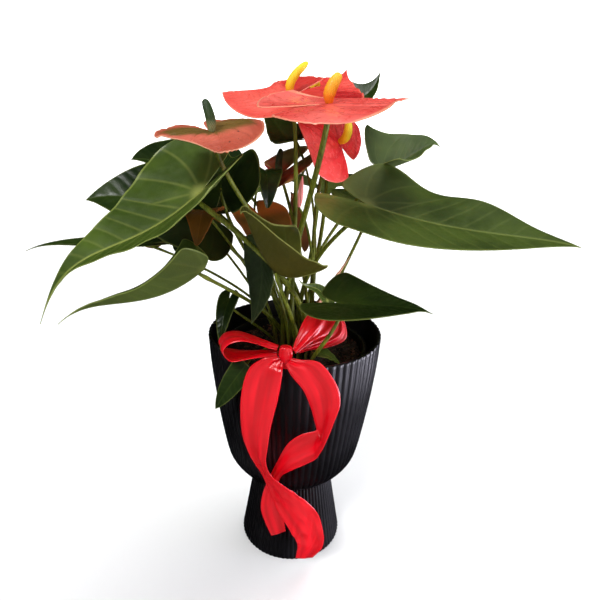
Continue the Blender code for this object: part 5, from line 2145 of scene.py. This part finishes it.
@dataclass(frozen=True)
class Studio:
    """The camera, the lights and the pale floor.

    ambient and backdrop are the strengths of the surroundings' light and of the backdrop's glow. Far away
    the floor glows a little too: its glow grows from the first of the distances to the second one, up to
    distance_glow.
    """

    eye: Point = (0.0, -0.404, 0.382)
    tilt: float = 67.8
    turn: float = 1.3
    lens: float = 32.4
    shift: Pair = (0.00783, 0.0217)
    floor: float = 5.0
    ambient: float = 0.45
    backdrop: float = 1.0
    distances: Pair = (0.8, 2.4)
    distance_glow: float = 0.25
    lamps: tuple[Lamp, ...] = field(default=(
        Lamp("key", LampKind.FAR, (-0.7, -1.1, 1.35), (0.0, 0.0, 0.25), 26.0, 5.2),
        Lamp("top", LampKind.FAR, (0.4, 0.5, 1.6), (0.0, 0.0, 0.3), 50.0, 2.0, shines=False),
        Lamp("fill", LampKind.PANEL, (0.9, -1.2, 0.8), (0.0, 0.0, 0.2), 1.0, 3.5),
        Lamp("cool", LampKind.PANEL, (0.6, -0.16, 0.03), (0.03, 0.0, 0.03), 0.30, 5.5, (0.86, 0.84, 1.0)),
    ))

    def build(self) -> None:
        """Sets the camera, the lights, the surroundings and the floor."""
        scene = bpy.context.scene
        data = bpy.data.cameras.new("camera")
        data.lens = self.lens
        data.sensor_width = 36.0
        data.shift_x, data.shift_y = self.shift
        data.clip_start = 0.01
        camera = bpy.data.objects.new("camera", data)
        tilted = Matrix.Rotation(math.radians(self.tilt), 4, "X")
        turned = Matrix.Rotation(math.radians(self.turn), 4, "Z")
        camera.matrix_world = Matrix.Translation(self.eye) @ (tilted @ turned)
        scene.collection.objects.link(camera)
        scene.camera = camera
        for lamp in self.lamps:
            lamp.build()
        world = bpy.data.worlds.new("studio")
        world.use_nodes = True
        world.node_tree.nodes["Background"].inputs["Color"].default_value = (0.96, 0.98, 1.0, 1.0)
        world.node_tree.nodes["Background"].inputs["Strength"].default_value = self.ambient
        world.cycles_visibility.glossy = False
        scene.world = world
        scene.view_settings.view_transform = "Standard"
        self.paper()

    def paper(self) -> None:
        """Lays the pale floor and stands a white backdrop round it, which adds no light of its own."""
        ground = bmesh.new()
        bmesh.ops.create_grid(ground, x_segments=8, y_segments=8, size=self.floor)
        wall = bmesh.new()
        bmesh.ops.create_cone(
            wall, cap_ends=False, segments=96, radius1=self.floor, radius2=self.floor, depth=self.floor
        )
        bmesh.ops.translate(wall, vec=(0.0, 0.0, 0.45 * self.floor), verts=wall.verts[:])
        bmesh.ops.reverse_faces(wall, faces=wall.faces[:])
        for name, shape, glow in (("floor", ground, 0.0), ("backdrop", wall, self.backdrop)):
            mesh = bpy.data.meshes.new(name)
            shape.to_mesh(mesh)
            shape.free()
            shader = Shader(f"{name}_paper")
            tone = shader.mix(shader.noise(3.0), (0.93, 0.93, 0.93), (0.95, 0.95, 0.95))
            away = shader.node("ShaderNodeVectorMath", operation="LENGTH")
            shader.put(away.inputs[0], shader.place())
            far = shader.smooth(away.outputs["Value"], *self.distances, 0.0, self.distance_glow)
            mesh.materials.append(shader.finish(
                Base_Color=tone, Roughness=0.9, Emission_Color=(1.0, 1.0, 1.0, 1.0),
                Emission_Strength=glow or far,
            ))
            made = bpy.data.objects.new(name, mesh)
            made.visible_diffuse = glow == 0.0
            made.visible_glossy = False
            bpy.context.scene.collection.objects.link(made)


def main() -> None:
    """Builds the plant, its pot and its bow."""
    logging.basicConfig(level=logging.INFO, format="%(name)s %(message)s", stream=sys.stdout)
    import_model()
    Studio().build()
    library = Library()
    FlutedPot().build(library)
    PottingMix().build(library)
    for blade in LEAVES:
        Leaf(blade).build(library)
    for blade in BLOOMS:
        Bloom(blade).build(library)
    Bud(BUD).build(library)
    Bow().build(library)


if __name__ == "__main__":
    main()
